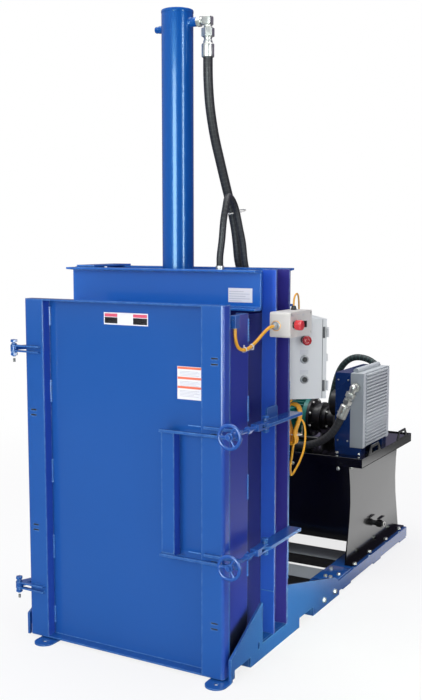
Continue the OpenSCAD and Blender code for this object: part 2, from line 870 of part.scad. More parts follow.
// Plate bent round behind the cabinet, from the column's rear flange
module cabinet_bracket() {
    back = -cabinet_w - 0.3;
    color(blue) translate([0, 0, cabinet_z + 40]) linear_extrude(cabinet_h - 80) polygon([
        [web_x + 4, column_depth / 2], [web_x + 10, column_depth / 2], cabinet_point(back, -3),
        cabinet_point(back, 90), cabinet_point(back - 5, 90), cabinet_point(back - 5, -1)]);
}

// Collars round the buttons, the cable glands and the cabinet's hinge leaves
module panel_fittings() {
    color(black) {
        at_cabinet() {
            for (i = [0 : 2]) translate([stop_x, 0, button_z[i]]) rotate([90, 0, 0]) difference() {
                cylinder(d = i == 0 ? 34 : 32, h = i == 0 ? 12 : 7);
                translate([0, 0, -1]) cylinder(d = 20.6, h = 20);
            }
            for (z = [cabinet_z + 30, cabinet_top - 78])
                translate([-2, -2.5, z]) cube([16, 2.5, 48]);
        }
        for (y = [stud_y, knob_y]) translate([station_face, y, station_z])
            rotate([0, 90, 0]) difference() {
                cylinder(d = 29, h = 5);
                translate([0, 0, -1]) cylinder(d = 12.6, h = 20);
            }
        translate([half_w + 26, station_y, station_foot + 44]) rotate([90, 0, 0]) cylinder(d = 22, h = 25);
        translate([station_cable_end[0], station_cable_end[1], cabinet_top]) cylinder(d = 22, h = 22);
        translate([station_cable_start[0], station_cable_start[1], station_z + station[2] / 2])
            cylinder(d = 22, h = 16);
        translate([hank_x, hank_y, cabinet_z - 16]) difference() {
            cylinder(d = 26, h = 16);
            translate([0, 0, -1]) cylinder(d = 14.6, h = 18);
        }
    }
}

module estop_head() {
    color([0.75, 0.03, 0.05]) at_cabinet() translate([stop_x, 0, button_z[0]]) rotate([90, 0, 0]) {
        translate([0, 0, -cab_wall - 12]) cylinder(d = 20, h = cab_wall + 32);
        translate([0, 0, 19]) cylinder(d = 34, h = 8);
        translate([0, 0, 26]) cylinder(d = 40, h = 12);
        translate([0, 0, 38]) cylinder(d1 = 40, d2 = 30, h = 5);
    }
}

module push_button(z) {
    color(black) at_cabinet() translate([stop_x, 0, z]) rotate([90, 0, 0])
        translate([0, 0, -cab_wall - 8]) cylinder(d = 20, h = cab_wall + 17);
}

module start_button() {
    push_button(button_z[1]);
}

module reset_button() {
    push_button(button_z[2]);
}

// ---- door switch and control cables ----

switch_x = post_x;
switch_y = post_front + 8;
switch_size = [20, 32, 45];
switch_top = post_z;
switch_foot = switch_top - switch_size[2];

module door_switch() {
    color(black) difference() {
        translate([switch_x, switch_y, switch_foot]) cube(switch_size);
        translate([switch_x + 10, switch_y - 1, switch_top - 16]) rotate([-90, 0, 0])
            cylinder(d = 6, h = 12);
    }
}

cable_d = 12;
station_cable_start = [half_w + 30, 30];
station_cable_end = [452, 190];
gland_y = station_y - 25;

thin_d = 7;

switch_route = [
    [452, switch_y + 16, switch_foot], [452, switch_y + 16, switch_foot - 24],
    [453, -351, 1240], [455, -336, 1218], [460, -308, 1208], [467, -272, 1214],
    [476, -236, 1234], [486, -202, 1260], [494, -174, 1278],
    [half_w + 26, gland_y - 16, station_foot + 44], [half_w + 26, gland_y, station_foot + 44]];

station_route = [
    [station_cable_start[0], station_cable_start[1], station_z + station[2] / 2 + 16],
    [502, 31, 1364], [499, 42, 1381], [494, 66, 1391], [485, 98, 1392], [474, 132, 1383],
    [463, 162, 1366], [455, 182, 1346], [station_cable_end[0], station_cable_end[1], 1328],
    [station_cable_end[0], station_cable_end[1], cabinet_top + 22]];

module switch_cable() {
    color(yellow) tube_along(smooth_route(switch_route, 1), cable_d, [0, 0, -1], [0, 1, 0], 8);
}

module station_cable() {
    color(black) tube_along(smooth_route(station_route, 1), thin_d, [0, 0, 1], [0, 0, -1], 8);
}

hank_top = cabinet_z - 22;
hank_x = 404;
hank_y = 250;
hank_w = 72;
hank_h = 185;
hank_d = 44;
tail_d = 10;

// Spare cable folded up and tied under the cabinet
module cable_hank() {
    r = hank_w / 2;
    color(yellow) translate([hank_x, hank_y + hank_d / 2, hank_top - hank_h]) rotate([90, 0, 0])
        linear_extrude(hank_d) union() {
            translate([-r, r]) square([hank_w, hank_h - hank_w]);
            for (z = [r, hank_h - r]) translate([0, z]) circle(r);
        }
    // the lead from the cabinet's underside into the tied loops
    color(yellow) translate([hank_x, hank_y, hank_top - 4]) cylinder(d = 12, h = cabinet_z - hank_top + 4);
}

tail_route = [
    [hank_x, hank_y, hank_top - hank_h], [402, hank_y, hank_top - hank_h - 18], [397, 254, 700],
    [384, 268, 660], [360, 325, 610], [330, 405, 585], [300, 500, 580], [270, 620, 596],
    [236, 740, 624], [190, 860, 664], [138, 960, 700], [84, motor_y - 145, motor_z + 15],
    [54, motor_y - 113, motor_z + 17], [30, motor_y - 108, motor_z + 17]];

module cable_tail() {
    color(yellow) tube_along(smooth_route(tail_route, 1), tail_d, [0, 0, -1], [-1, 0, 0], 8);
}

// ---- power unit ----

rail_x = half_w - side_t - rail_w;
rail_y = floor_rear;
cross_y = [590, 895, 1400];
cross_w = 154;

module power_skid() {
    color(blue) {
        both_sides() translate([rail_x, rail_y, skid_z - 50]) {
            translate([0, 0, 42]) cube([rail_w, skid_back - rail_y, 8]);
            for (x = [0, rail_w - 8]) translate([x, 0, 0]) cube([8, skid_back - rail_y, 43]);
        }
        for (y = cross_y) translate([-rail_x, y, skid_z - 47]) {
            translate([0, 0, 39]) cube([2 * rail_x, cross_w, 8]);
            for (k = [0, cross_w - 8]) translate([0, k, 0]) cube([2 * rail_x, 8, 40]);
        }
        // feet under the rails
        both_sides() for (y = [690, 1100, skid_back - 110])
            translate([rail_x, y, 0]) cube([rail_w, 100, skid_z - 50]);
    }
}

tank_foot = 160;
end_t = 6;
waist = 32;
lid_t = 4;
tank_rim = tank_top + cover_h - lid_t;
lid_d = tank_d + 16;
loop_w = 165;
loop_h = 50;
cover_loops = [lid_y + 95, lid_y + lid_d - 230];

// Reservoir end plate: waisted legs, wider at the foot
module tank_end_2d() {
    mid = (tank_foot + tank_top) / 2;
    polygon([[tank_y, tank_rim], [tank_y + waist * 0.8, mid + 90], [tank_y + waist, mid],
             [tank_y + waist * 0.7, mid - 90], [tank_y - 18, skid_z],
             [tank_y + tank_d + 28, skid_z], [tank_y + tank_d - waist * 0.7, mid - 90],
             [tank_y + tank_d - waist, mid], [tank_y + tank_d - waist * 0.8, mid + 90],
             [tank_y + tank_d, tank_rim]]);
}

module tank() {
    x0 = tank_x - tank_w;
    color(black) {
        difference() {
            translate([x0 + end_t, tank_y + waist, tank_foot])
                cube([tank_w - 2 * end_t, tank_d - 2 * waist, tank_rim - tank_foot]);
            translate([x0 + end_t + 4, tank_y + waist + 4, tank_foot + 4])
                cube([tank_w - 2 * end_t - 8, tank_d - 2 * waist - 8, tank_rim - tank_foot]);
        }
        plate_yz(tank_x - end_t, end_t) tank_end_2d();
        plate_yz(x0, end_t) tank_end_2d();
        for (x = [tank_x - end_t, x0 - 40 + end_t]) translate([x, tank_y - 18, skid_z])
            cube([40, tank_d + 46, 6]);
    }
}

module tank_cover() {
    x0 = tank_x - tank_w - 30;
    w = tank_w + 100;
    color(black) difference() {
        translate([x0, lid_y, tank_top]) cube([w, lid_d, cover_h]);
        translate([x0 + lid_t, lid_y + lid_t, tank_top - 1])
            cube([w - 2 * lid_t, lid_d - 2 * lid_t, cover_h + 1 - lid_t]);
    }
    // handles bent up from the right edge
    color(black) for (y = cover_loops) translate([x0 + w, y, block_z]) rotate([90, 0, -90])
        translate([-loop_w, 0, 0]) linear_extrude(5) difference() {
            polygon([[0, -2], [loop_w, -2], [loop_w, 6], [loop_w - 34, loop_h], [34, loop_h], [0, 6]]);
            translate([38, 12]) square([loop_w - 76, loop_h - 24]);
        }
}

drain_y = tank_y + 370;
drain_z = tank_foot + 9;

module drain_valve() {
    color(black) translate([tank_x, drain_y, drain_z]) rotate([0, 90, 0]) difference() {
        union() {
            cylinder(d = 26, h = 14);
            translate([0, 0, 14]) hexagon(34, 30);
            translate([0, 0, 44]) cylinder(d = 26, h = 10);
        }
        translate([0, 0, 20]) cylinder(d = 15, h = 40);
        translate([0, 0, 27]) rotate([0, -90, 0]) cylinder(d = 8.6, h = 40);
    }
}

module drain_handle() {
    color([0.8, 0.8, 0.78]) translate([tank_x + 27, drain_y, drain_z]) {
        translate([0, 0, 10]) cylinder(d = 8, h = 18);
        translate([-9, -9, 24]) cube([18, 62, 4]);
    }
}

module motor() {
    len = motor_x[1] - motor_x[0];
    color(teal) {
        translate([motor_x[0], motor_y, motor_z]) rotate([0, 90, 0]) {
            cylinder(d = motor_d - 30, h = len);
            translate([0, 0, 50]) for (k = [0 : 31]) rotate(k * 360 / 32)
                translate([motor_d / 2 - 20, -1.5, 0]) cube([20, 3, len - 75]);
            translate([0, 0, len - 22]) cylinder(d = motor_d, h = 22);
            cylinder(d = motor_d, h = 48);
        }
        // terminal box and feet
        translate([-100, motor_y - motor_d / 2 - 38, motor_z - 55]) cube([130, 60, 110]);
        for (x = [motor_x[0] + 70, motor_x[1] - 70]) translate([x, motor_y - 95, block_z])
            cube([30, 190, 40]);
    }
}

bell_x = motor_x[1] + 66;

module bell_housing() {
    color(black) translate([motor_x[1], motor_y, motor_z]) rotate([0, 90, 0]) difference() {
        union() {
            cylinder(d = motor_d - 4, h = 14);
            cylinder(d = 140, h = bell_x - motor_x[1]);
            translate([0, 0, bell_x - motor_x[1] - 12]) cylinder(d = 160, h = 12);
        }
        translate([0, 0, -1]) cylinder(d = 118, h = bell_x - motor_x[1] - 10);
    }
}

return_y = lid_y + 48;
filter_pos = [120, cooler_y + cooler_d + 40];
filter_z = block_z + 150;

module pump() {
    color(black) {
        translate([bell_x, motor_y, motor_z]) rotate([0, 90, 0]) {
            cylinder(d = 120, h = 22);
            translate([0, 0, 22]) cylinder(d = 96, h = 40);
        }
        // pressure line to the valve block
        translate([bell_x + 40, motor_y - 173, hose_port_z + 4]) rotate([-90, 0, 0]) cylinder(d = 22, h = 173);
        translate([block_x[1] - 1, motor_y - 173, hose_port_z + 4]) rotate([0, 90, 0])
            cylinder(d = 22, h = bell_x + 41 - block_x[1]);
        translate([bell_x + 40, motor_y, hose_port_z - 7]) cylinder(d = 22, h = 50);
        // valve block with its two ports
        translate([block_x[0], block_y[0], block_z])
            cube([block_x[1] - block_x[0], block_y[1] - block_y[0], block_h]);
        for (x = [-30, -30 + port_pitch]) translate([x, port_y, hose_port_z]) rotate([-90, 0, 0])
            cylinder(d = 44, h = 31);
        // return manifold and filter
        translate([68, return_y - 25, block_z]) cube([47, 50, 54]);
        translate([filter_pos[0], filter_pos[1], block_z]) cylinder(d = 110, h = 90);
        translate([filter_pos[0], filter_pos[1], block_z + 90]) cylinder(d = 60, h = filter_z - block_z - 90);
    }
}

cooler_x = web_x - 27;
core_t = 65;
cooler_z = block_z + 38;
shroud_t = 77;
fan_y = cooler_y + cooler_d / 2;
fan_z = cooler_z + cooler_h / 2;
fan_r = min(cooler_h, cooler_d) / 2 - 30;

module cooler_core() {
    color([0.45, 0.50, 0.52]) {
        translate([cooler_x, cooler_y, cooler_z]) cube([core_t - 6, cooler_d, cooler_h]);
        // front and rear headers stand proud of the fins
        for (y = [cooler_y, cooler_y + cooler_d - 34]) translate([cooler_x, y, cooler_z])
            cube([core_t, 34, cooler_h]);
        n = floor((cooler_h - 30) / 17);
        for (k = [0 : n]) translate([cooler_x + core_t - 7, cooler_y, cooler_z + 10 + k * 17])
            cube([7, cooler_d, 6]);
        // tube along the top edge
        translate([cooler_x + 14, cooler_y + 30, cooler_z + cooler_h + 8]) rotate([-90, 0, 0])
            cylinder(d = 26, h = cooler_d - 60);
    }
}

module cooler_shroud() {
    color([0.06, 0.13, 0.33]) {
        difference() {
            translate([cooler_x - shroud_t, cooler_y, cooler_z]) cube([shroud_t, cooler_d, cooler_h]);
            translate([cooler_x - shroud_t + 3, cooler_y + 3, cooler_z + 3])
                cube([shroud_t, cooler_d - 6, cooler_h - 6]);
            translate([cooler_x - shroud_t - 1, fan_y, fan_z]) rotate([0, 90, 0])
                cylinder(r = fan_r, h = 6, $fn = 72);
        }
        // feet on the reservoir's cover
        for (y = [cooler_y + 4, cooler_y + cooler_d - 64]) translate([cooler_x - shroud_t, y, block_z])
            cube([shroud_t + core_t - 10, 60, cooler_z - block_z]);
        // arms that carry the fan motor
        for (a = [45, 135, 225, 315]) translate([cooler_x - shroud_t - 6, fan_y, fan_z]) rotate([a, 0, 0])
            translate([0, -8, 52]) cube([7.5, 16, fan_r - 36]);
    }
}

module cooler_motor() {
    back = cooler_x - shroud_t - 6;
    color(black) translate([back - 74, fan_y, fan_z]) rotate([0, 90, 0]) {
        cylinder(d = 130, h = 74);
        for (a = [45, 135, 225, 315]) rotate(a) translate([-8, 40, 62]) cube([16, 32, 12]);
        translate([0, 0, 73]) cylinder(d = 18, h = 46);
    }
}

module cooler_fan() {
    hub = cooler_x - shroud_t + 16;
    color([0.1, 0.1, 0.11]) translate([hub, fan_y, fan_z]) rotate([0, 90, 0]) difference() {
        union() {
            cylinder(d = 70, h = 26);
            for (a = [0 : 60 : 300]) rotate(a) translate([30, 0, 13]) rotate([32, 0, 0])
                translate([0, -22, -1.5]) cube([fan_r - 42, 44, 3]);
        }
        translate([0, 0, -1]) cylinder(d = 18 + 2 * fit, h = 28);
    }
}

elbow_a = [cooler_x + 30, cooler_y - 40, cooler_z + 294];
elbow_turn = 203;
hose_from = elbow_a + 160 * [sin(elbow_turn), 0, cos(elbow_turn)];
elbow_b = [cooler_x + 30, cooler_y + cooler_d + 40, cooler_z + 294];
loop_turn = -38;
loop_from = elbow_b + 60 * [sin(loop_turn), 0, cos(loop_turn)];

// Swivel elbow, nuts and crimped ferrule, drawn from the joint with the hose end upwards
module swivel_end(length, d) {
    sphere(d = d - 4);
    cylinder(d = d - 10, h = length);
    translate([0, 0, 26]) hexagon(d, 24);
    translate([0, 0, 62]) hexagon(d - 2, 22);
    translate([0, 0, 94]) cylinder(d = d + 6, h = length - 94);
}

module cooler_fittings() {
    color(zinc) {
        translate(elbow_a) {
            rotate([0, elbow_turn, 0]) swivel_end(160, 42);
            rotate([-90, 0, 0]) cylinder(d = 30, h = 40);
            translate([0, 14, 0]) rotate([-90, 0, 0]) hexagon(44, 18);
        }
        translate(elbow_b) {
            sphere(d = 34);
            rotate([0, loop_turn, 0]) {
                cylinder(d = 28, h = 60);
                translate([0, 0, 24]) hexagon(38, 20);
                translate([0, 0, 44]) cylinder(d = 40, h = 16);
            }
            rotate([90, 0, 0]) cylinder(d = 28, h = 40);
            translate([0, -32, 0]) rotate([-90, 0, 0]) hexagon(44, 18);
        }
    }
}

cooler_route = [
    hose_from, [341, cooler_y - 41, 730], [320, cooler_y - 42, 694], [288, cooler_y - 43, 659],
    [244, cooler_y - 43, 630], [198, cooler_y - 42, 612], [155, return_y, block_z + 30],
    [115, return_y, block_z + 29]];

loop_route = [
    loop_from, [335, elbow_b[1], 984], [300, elbow_b[1], 995], [262, elbow_b[1], 998],
    [226, elbow_b[1], 988], [192, elbow_b[1], 962], [166, elbow_b[1], 924],
    [146, elbow_b[1], 870], [130, elbow_b[1], 800], [filter_pos[0], filter_pos[1], filter_z + 30],
    [filter_pos[0], filter_pos[1], filter_z]];

module cooler_hose() {
    color(black) tube_along(smooth_route(cooler_route, 1), hose_d,
        [sin(elbow_turn), 0, cos(elbow_turn)], [-1, 0, 0], 10);
}

module loop_hose() {
    color(black) tube_along(smooth_route(loop_route, 1), 33,
        [sin(loop_turn), 0, cos(loop_turn)], [0, 0, -1], 10);
}

// ---- the assembly ----

side_plates();
floor_plate();
base_beams();
door_posts();
chamber_shell();
column_right();
column_left();
crosshead_front();
crosshead_rear();
crosshead_plates();
cylinder_barrel();
cylinder_cap();
rod_gland();
hose_fittings();
pressure_hose();
return_hose();
hinge_lugs();
pivot_pins();
latch_brackets();
station_box();
panel_fittings();
cabinet_box();
cabinet_bracket();
door_switch();
switch_cable();
station_cable();
cable_hank();
cable_tail();
power_skid();
tank();
tank_cover();
drain_valve();
motor();
bell_housing();
pump();
cooler_core();
cooler_shroud();
cooler_motor();
cooler_hose();
loop_hose();
piston_rod();
platen();
door_panel();
door_stiles();
door_brace();
hinge_straps();
swing_bolt_upper();
swing_bolt_lower();
handwheel_upper();
handwheel_lower();
latch_washer_upper();
latch_washer_lower();
cabinet_door();
estop_head();
start_button();
reset_button();
station_mushroom();
station_knob();
cooler_fan();
drain_handle();
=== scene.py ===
import bisect
import random
from math import atan2, cos, hypot, pi, radians, sin

import bmesh
import bpy
from mathutils import Matrix, Vector


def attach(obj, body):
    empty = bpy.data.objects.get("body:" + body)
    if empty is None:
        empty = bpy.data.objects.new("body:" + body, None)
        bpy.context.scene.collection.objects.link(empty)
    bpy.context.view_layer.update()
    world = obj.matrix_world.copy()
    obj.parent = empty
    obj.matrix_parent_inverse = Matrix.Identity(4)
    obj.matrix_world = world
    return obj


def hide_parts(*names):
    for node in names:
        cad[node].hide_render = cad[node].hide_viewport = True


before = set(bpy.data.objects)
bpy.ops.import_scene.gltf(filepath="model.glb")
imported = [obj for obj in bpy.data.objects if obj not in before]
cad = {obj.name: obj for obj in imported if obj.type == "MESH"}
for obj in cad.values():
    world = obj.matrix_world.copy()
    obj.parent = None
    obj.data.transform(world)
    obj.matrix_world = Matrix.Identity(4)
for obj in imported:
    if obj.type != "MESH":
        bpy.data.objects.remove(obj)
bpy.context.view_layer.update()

# ---- Studio ----
# The machine stands on a plain pale floor that runs on without a join.
# Soft boxes light it from the front and above, tall strips draw the highlights, a small lamp lights the skid's side.

scene = bpy.context.scene
scene.view_settings.view_transform = "Standard"


def tone(red, green, blue):
    """A colour as a paint chart gives it, 0 to 255, in linear light."""
    steps = [value / 255.0 for value in (red, green, blue)]
    light = [s / 12.92 if s <= 0.04045 else ((s + 0.055) / 1.055) ** 2.4 for s in steps]
    return (light[0], light[1], light[2], 1.0)


def stood(name, data):
    made = bpy.data.objects.new(name, data)
    scene.collection.objects.link(made)
    return made


lens = bpy.data.cameras.new("camera")
lens.lens, lens.sensor_width, lens.clip_end = 50.446, 36.0, 60.0
camera = stood("camera", lens)
camera.location = (2.0797, -3.4172, 1.6025)
camera.rotation_euler = (radians(83.58), 0.0, radians(29.42))
scene.camera = camera


def lamp(name, place, target, width, height, power, colour=(1.0, 1.0, 1.0), diffuse=True, glossy=True):
    """A flat lamp turned to its target; it can be left out of the soft light or of the mirrored one."""
    data = bpy.data.lights.new(name, "AREA")
    data.shape = "RECTANGLE"
    data.size, data.size_y = width, height
    data.energy, data.color = power, colour
    lit = stood(name, data)
    lit.location = place
    lit.rotation_euler = (Vector(target) - Vector(place)).to_track_quat("-Z", "Y").to_euler()
    lit.visible_diffuse, lit.visible_glossy = diffuse, glossy
    return lit


lamp("soft_box", (-2.6, -5.2, 3.0), (0.0, 0.0, 1.1), 3.2, 3.2, 30.0, glossy=False)
lamp("right_box", (2.7, -5.7, 2.4), (0.0, 0.0, 1.0), 1.8, 2.6, 74.0, glossy=False)
lamp("front_box", (-1.15, -5.4, 2.1), (0.0, 0.0, 1.7), 0.85, 3.6, 98.0, glossy=False)
lamp("tall_strip", (0.75, -5.4, 1.6), (0.0, 0.0, 1.6), 2.4, 3.2, 320.0, (0.86, 1.0, 0.99), diffuse=False)
lamp("edge_strip", (5.2, -1.9, 1.9), (0.0, 0.0, 1.7), 0.70, 3.6, 40.0)
lamp("rim_strip", (5.2, -1.75, 2.2), (0.0, 0.0, 1.9), 0.60, 3.6, 110.0, (0.9, 1.0, 1.0), diffuse=False)
lamp("top_box", (0.2, 0.6, 5.4), (0.0, 0.4, 0.6), 4.0, 4.5, 170.0)
low_box = lamp("low_box", (2.9, -0.5, 0.42), (0.47, 0.08, 0.16), 0.5, 0.4, 2.3, (0.80, 1.0, 0.60))
low_box.data.spread = radians(26)


def feed(tree, value, target):
    """Wires a socket, or a node's first open output, to an input, or sets a plain value on it."""
    if isinstance(value, bpy.types.Node):
        value = next(out for out in value.outputs if out.enabled)
    if isinstance(value, bpy.types.NodeSocket):
        tree.links.new(value, target)
    else:
        target.default_value = value


def put(tree, kind, *feeds, **settings):
    """Adds a shader node, the kind followed by its operation: feeds go to its first inputs, settings in small
    letters are its options, and those with a capital are inputs by their label."""
    kind, _, operation = kind.partition(" ")
    node = tree.nodes.new(kind if kind.startswith("NodeGroup") else "ShaderNode" + kind)
    if operation:
        node.operation = operation
    for name in [name for name in settings if name.islower()]:
        setattr(node, name, settings.pop(name))
    for k, value in enumerate(feeds):
        feed(tree, value, node.inputs[k])
    for name, value in settings.items():
        feed(tree, value, node.inputs[name.replace("_", " ")])
    return node


white = (1.0, 1.0, 1.0, 1.0)
room = bpy.data.worlds.new("room")
scene.world = room
room.use_nodes = True
sky = room.node_tree
sky.nodes.clear()
sky_side = put(sky, "VectorMath DOT_PRODUCT", put(sky, "TexCoord").outputs["Generated"], (-0.42, -0.30, 0.857))
sky_ramp = put(sky, "ValToRGB", put(sky, "MapRange", sky_side.outputs["Value"], -1.0))
dusk, day = sky_ramp.color_ramp.elements
dusk.color = (0.085, 0.05, 0.13, 1.0)
day.position, day.color = 0.95, (0.62, 0.63, 0.66, 1.0)
sky_ramp.color_ramp.elements.new(0.60).color = (0.17, 0.16, 0.23, 1.0)
put(sky, "OutputWorld", put(sky, "MixShader", put(sky, "LightPath").outputs["Is Camera Ray"],
                            put(sky, "Background", sky_ramp), put(sky, "Background", white)))

floor_shape = bmesh.new()
bmesh.ops.create_grid(floor_shape, x_segments=2, y_segments=2, size=14.0)
floor_mesh = bpy.data.meshes.new("studio_floor")
floor_shape.to_mesh(floor_mesh)
floor_shape.free()
studio_floor = stood("studio_floor", floor_mesh)
paint = bpy.data.materials.new("studio_floor")
paint.use_nodes = True
floor_tree = paint.node_tree
floor_tree.nodes.clear()
floor_rays = put(floor_tree, "LightPath").outputs
floor_spot = put(floor_tree, "TexCoord").outputs["Object"]


def floor_fade(centre, near, far, at_near, at_far, across=1.0):
    """A value that changes with the distance from a spot on the floor."""
    narrow = put(floor_tree, "VectorMath MULTIPLY", floor_spot, (across, 1.0, 1.0))
    away = put(floor_tree, "VectorMath DISTANCE", narrow, centre).outputs["Value"]
    return put(floor_tree, "MapRange", away, near, far, at_near, at_far, interpolation_type="SMOOTHSTEP")


# what the eye sees runs out to plain white; what the paint mirrors is the lit patch behind the tank
floor_seen = floor_fade((0.3, 0.4, 0.0), 1.3, 5.0, 0.80, 1.0)
floor_patch = floor_fade((1.8, 2.3, 0.0), 1.2, 1.9, 1.05, 0.10, 2.2)
floor_level = put(floor_tree, "Mix", A=1.0, B=floor_patch, Factor=floor_rays["Is Glossy Ray"])
floor_eye = put(floor_tree, "Math MULTIPLY", floor_rays["Is Camera Ray"], floor_seen)
floor_part = put(floor_tree, "Math MULTIPLY_ADD", floor_rays["Is Glossy Ray"], 0.9, floor_eye)
floor_matt = put(floor_tree, "BsdfDiffuse", (0.86, 0.86, 0.87, 1.0))
floor_glow = put(floor_tree, "Emission", white, floor_level)
put(floor_tree, "OutputMaterial", put(floor_tree, "MixShader", floor_part, floor_matt, floor_glow))
floor_mesh.materials.append(paint)

# ---- Base frame and skid steel ----
# Folded and flame-cut steel plate, 6 to 12 mm thick, seam welded and sprayed with glossy blue enamel.
# Each cut edge is painted lighter as a highlight, and the coat has the slight orange peel of a sprayed coat.


def node_group(name, takes, gives):
    """An empty node group with its sockets: Colour is a colour, Rolled a vector, the rest are values."""
    group = bpy.data.node_groups.new(name, "ShaderNodeTree")
    kinds = {"Colour": "NodeSocketColor", "Rolled": "NodeSocketVector"}
    for in_out, labels in (("INPUT", takes), ("OUTPUT", gives)):
        for label in labels:
            group.interface.new_socket(name=label, in_out=in_out, socket_type=kinds.get(label, "NodeSocketFloat"))
    return group, put(group, "NodeGroupInput").outputs


def blotches():
    """Soft uneven shade over a surface: a colour, a roughness and a fine height."""
    group, given = node_group("blotches", ("Colour", "Coarse", "Fine", "Spread", "Rough low", "Rough high"),
                              ("Colour", "Roughness", "Height"))
    spot = put(group, "TexCoord").outputs["Object"]
    coarse = put(group, "TexNoise", Vector=spot, Scale=given["Coarse"], Detail=4.0)
    fine = put(group, "TexNoise", Vector=spot, Scale=given["Fine"], Detail=2.0)
    swing = put(group, "Math SUBTRACT", coarse, 0.5)
    lift = put(group, "Math MULTIPLY_ADD", swing, given["Spread"], 1.0)
    shade = put(group, "VectorMath SCALE", given["Colour"], Scale=lift)
    rough = put(group, "MapRange", coarse, 0.3, 0.7, given["Rough low"], given["Rough high"])
    put(group, "NodeGroupOutput", shade, rough, fine)
    return group


def edge_highlight():
    """Mask of the painted edge highlight, where the rolled normal leaves the flat one, broken up by noise."""
    group, given = node_group("edge_highlight", ("Rolled",), ("Mask",))
    flat = put(group, "NewGeometry").outputs["Normal"]
    apart = put(group, "VectorMath DOT_PRODUCT", given["Rolled"], flat).outputs["Value"]
    noise = put(group, "TexNoise", Vector=put(group, "TexCoord").outputs["Object"], Scale=40.0, Detail=3.0)
    put(group, "NodeGroupOutput", put(group, "Math MULTIPLY", put(group, "MapRange", apart, 0.995, 0.86),
                                      put(group, "MapRange", noise, 0.35, 0.65, 0.35)))
    return group


uneven = blotches()
edge_highlight_group = edge_highlight()


def skin_of(finish):
    return finish.node_tree.nodes["Principled BSDF"].inputs


def finish_of(name, colour, coarse, fine, spread, rough, peel=None, depth=0.0006, edge=None, coat=0.0, metal=0.0,
              coat_rough=None):
    """A finish with an uneven shade and, if given, orange peel, rolled edges and a clear coat."""
    finish = bpy.data.materials.new(name)
    finish.use_nodes = True
    tree, skin = finish.node_tree, skin_of(finish)
    base = put(tree, "Group", tone(*colour), coarse, fine, spread, *rough, node_tree=uneven).outputs
    feed(tree, base["Colour"], skin["Base Color"])
    feed(tree, base["Roughness"], skin["Roughness"])
    if peel is not None:
        bump = put(tree, "Bump", Strength=peel, Distance=depth, Height=base["Height"])
        if edge:
            feed(tree, put(tree, "Bevel", samples=4, Radius=edge), bump.inputs["Normal"])
        feed(tree, bump, skin["Normal"])
    for label, value in (("Coat Weight", coat), ("Metallic", metal), ("Coat Roughness", coat_rough)):
        if value is not None:
            skin[label].default_value = value
    return finish


def second_tone(finish, mask, colour):
    """Lays a second colour over a finish's own, as far as the mask says."""
    tree, own = finish.node_tree, skin_of(finish)["Base Color"]
    feed(tree, put(tree, "Mix", data_type="RGBA", A=own.links[0].from_socket, B=tone(*colour), Factor=mask), own)


def part_of(tree, axis, facing=False, size=False):
    """X, Y or Z of the place on the object, or of the way a face looks, with its sign or without."""
    seen = put(tree, "NewGeometry").outputs["Normal"] if facing else put(tree, "TexCoord").outputs["Object"]
    part = put(tree, "SeparateXYZ", seen).outputs[axis]
    return put(tree, "Math ABSOLUTE", part) if size else part


def enamel(name, colour, edge_highlight_colour, rough=(0.17, 0.27), radius=0.0016, peel=0.10, spread=0.10, coat=0.5,
           coarse=2.2, edge_highlight_share=0.7, side_shade=None, shade_from=50.0):
    """Sprayed enamel with a painted highlight, a lighter colour, along rolled edges. The side colour is painted
    shade on faces that look left or right or lie further back than shade_from."""
    finish = finish_of(name, colour, coarse, 240.0, spread, rough, peel, 0.0008, radius, coat, coat_rough=0.08)
    tree = finish.node_tree
    # sideways faces, and those further back than shade_from, take the side colour as painted shade
    if side_shade is not None:
        sideways = part_of(tree, "X", True, True)
        behind = put(tree, "Math GREATER_THAN", part_of(tree, "Y"), shade_from)
        second_tone(finish, put(tree, "Math MAXIMUM", sideways, behind), side_shade)
    # a lighter colour along rolled edges, painted as a highlight
    rolled = next(node for node in tree.nodes if node.type == "BEVEL")
    edge_glint = put(tree, "Group", rolled, node_tree=edge_highlight_group)
    second_tone(finish, put(tree, "Math MULTIPLY", edge_glint, edge_highlight_share), edge_highlight_colour)
    return finish


def coat_nodes(finish, *names):
    for name in names:
        for seat in cad[name].material_slots:
            seat.material = finish


blue_enamel = enamel("blue_enamel", (31, 87, 163), (118, 178, 236), (0.12, 0.2), radius=0.0042, edge_highlight_share=0.85)
coat_nodes(blue_enamel, "side_plates", "floor_plate", "base_beams")
skid_enamel = enamel("skid_enamel", (31, 87, 163), (96, 156, 218), (0.12, 0.2), radius=0.0026)
# Between the rails the skid's channels are painted near black as shade; grey tops are laid on them further on.
tree = skid_enamel.node_tree
second_tone(skid_enamel, put(tree, "Math LESS_THAN", part_of(tree, "X", size=True), 0.341), (16, 17, 20))
coat_nodes(skid_enamel, "power_skid")


def add_part(shape, part, where=None):
    """Closes a part, puts it in its place and adds it to the shape."""
    bmesh.ops.remove_doubles(part, verts=part.verts, dist=0.000002)
    bmesh.ops.recalc_face_normals(part, faces=part.faces)
    if where is not None:
        bmesh.ops.transform(part, matrix=where, verts=part.verts)
    held = bpy.data.meshes.new("held")
    part.to_mesh(held)
    part.free()
    shape.from_mesh(held)
    bpy.data.meshes.remove(held)


def aim(place, direction=(0, 0, 1), roll=0.0):
    """Matrix that stands a part's own Z along a direction at a place in millimetres."""
    turn = Vector((0, 0, 1)).rotation_difference(Vector(direction).normalized()).to_matrix().to_4x4()
    return Matrix.Translation(Vector(place) / 1000.0) @ turn @ Matrix.Rotation(roll, 4, "Z")


def turned(shape, profile, where=None, steps=32):
    """A part turned about Z from (radius, height) points in millimetres."""
    part = bmesh.new()
    chain = [part.verts.new((r / 1000.0, 0.0, h / 1000.0)) for r, h in profile]
    links = [part.edges.new(pair) for pair in zip(chain, chain[1:])]
    bmesh.ops.spin(part, geom=chain + links, cent=(0, 0, 0), axis=(0, 0, 1), angle=2 * pi, steps=steps,
                   use_merge=True)
    add_part(shape, part, where)


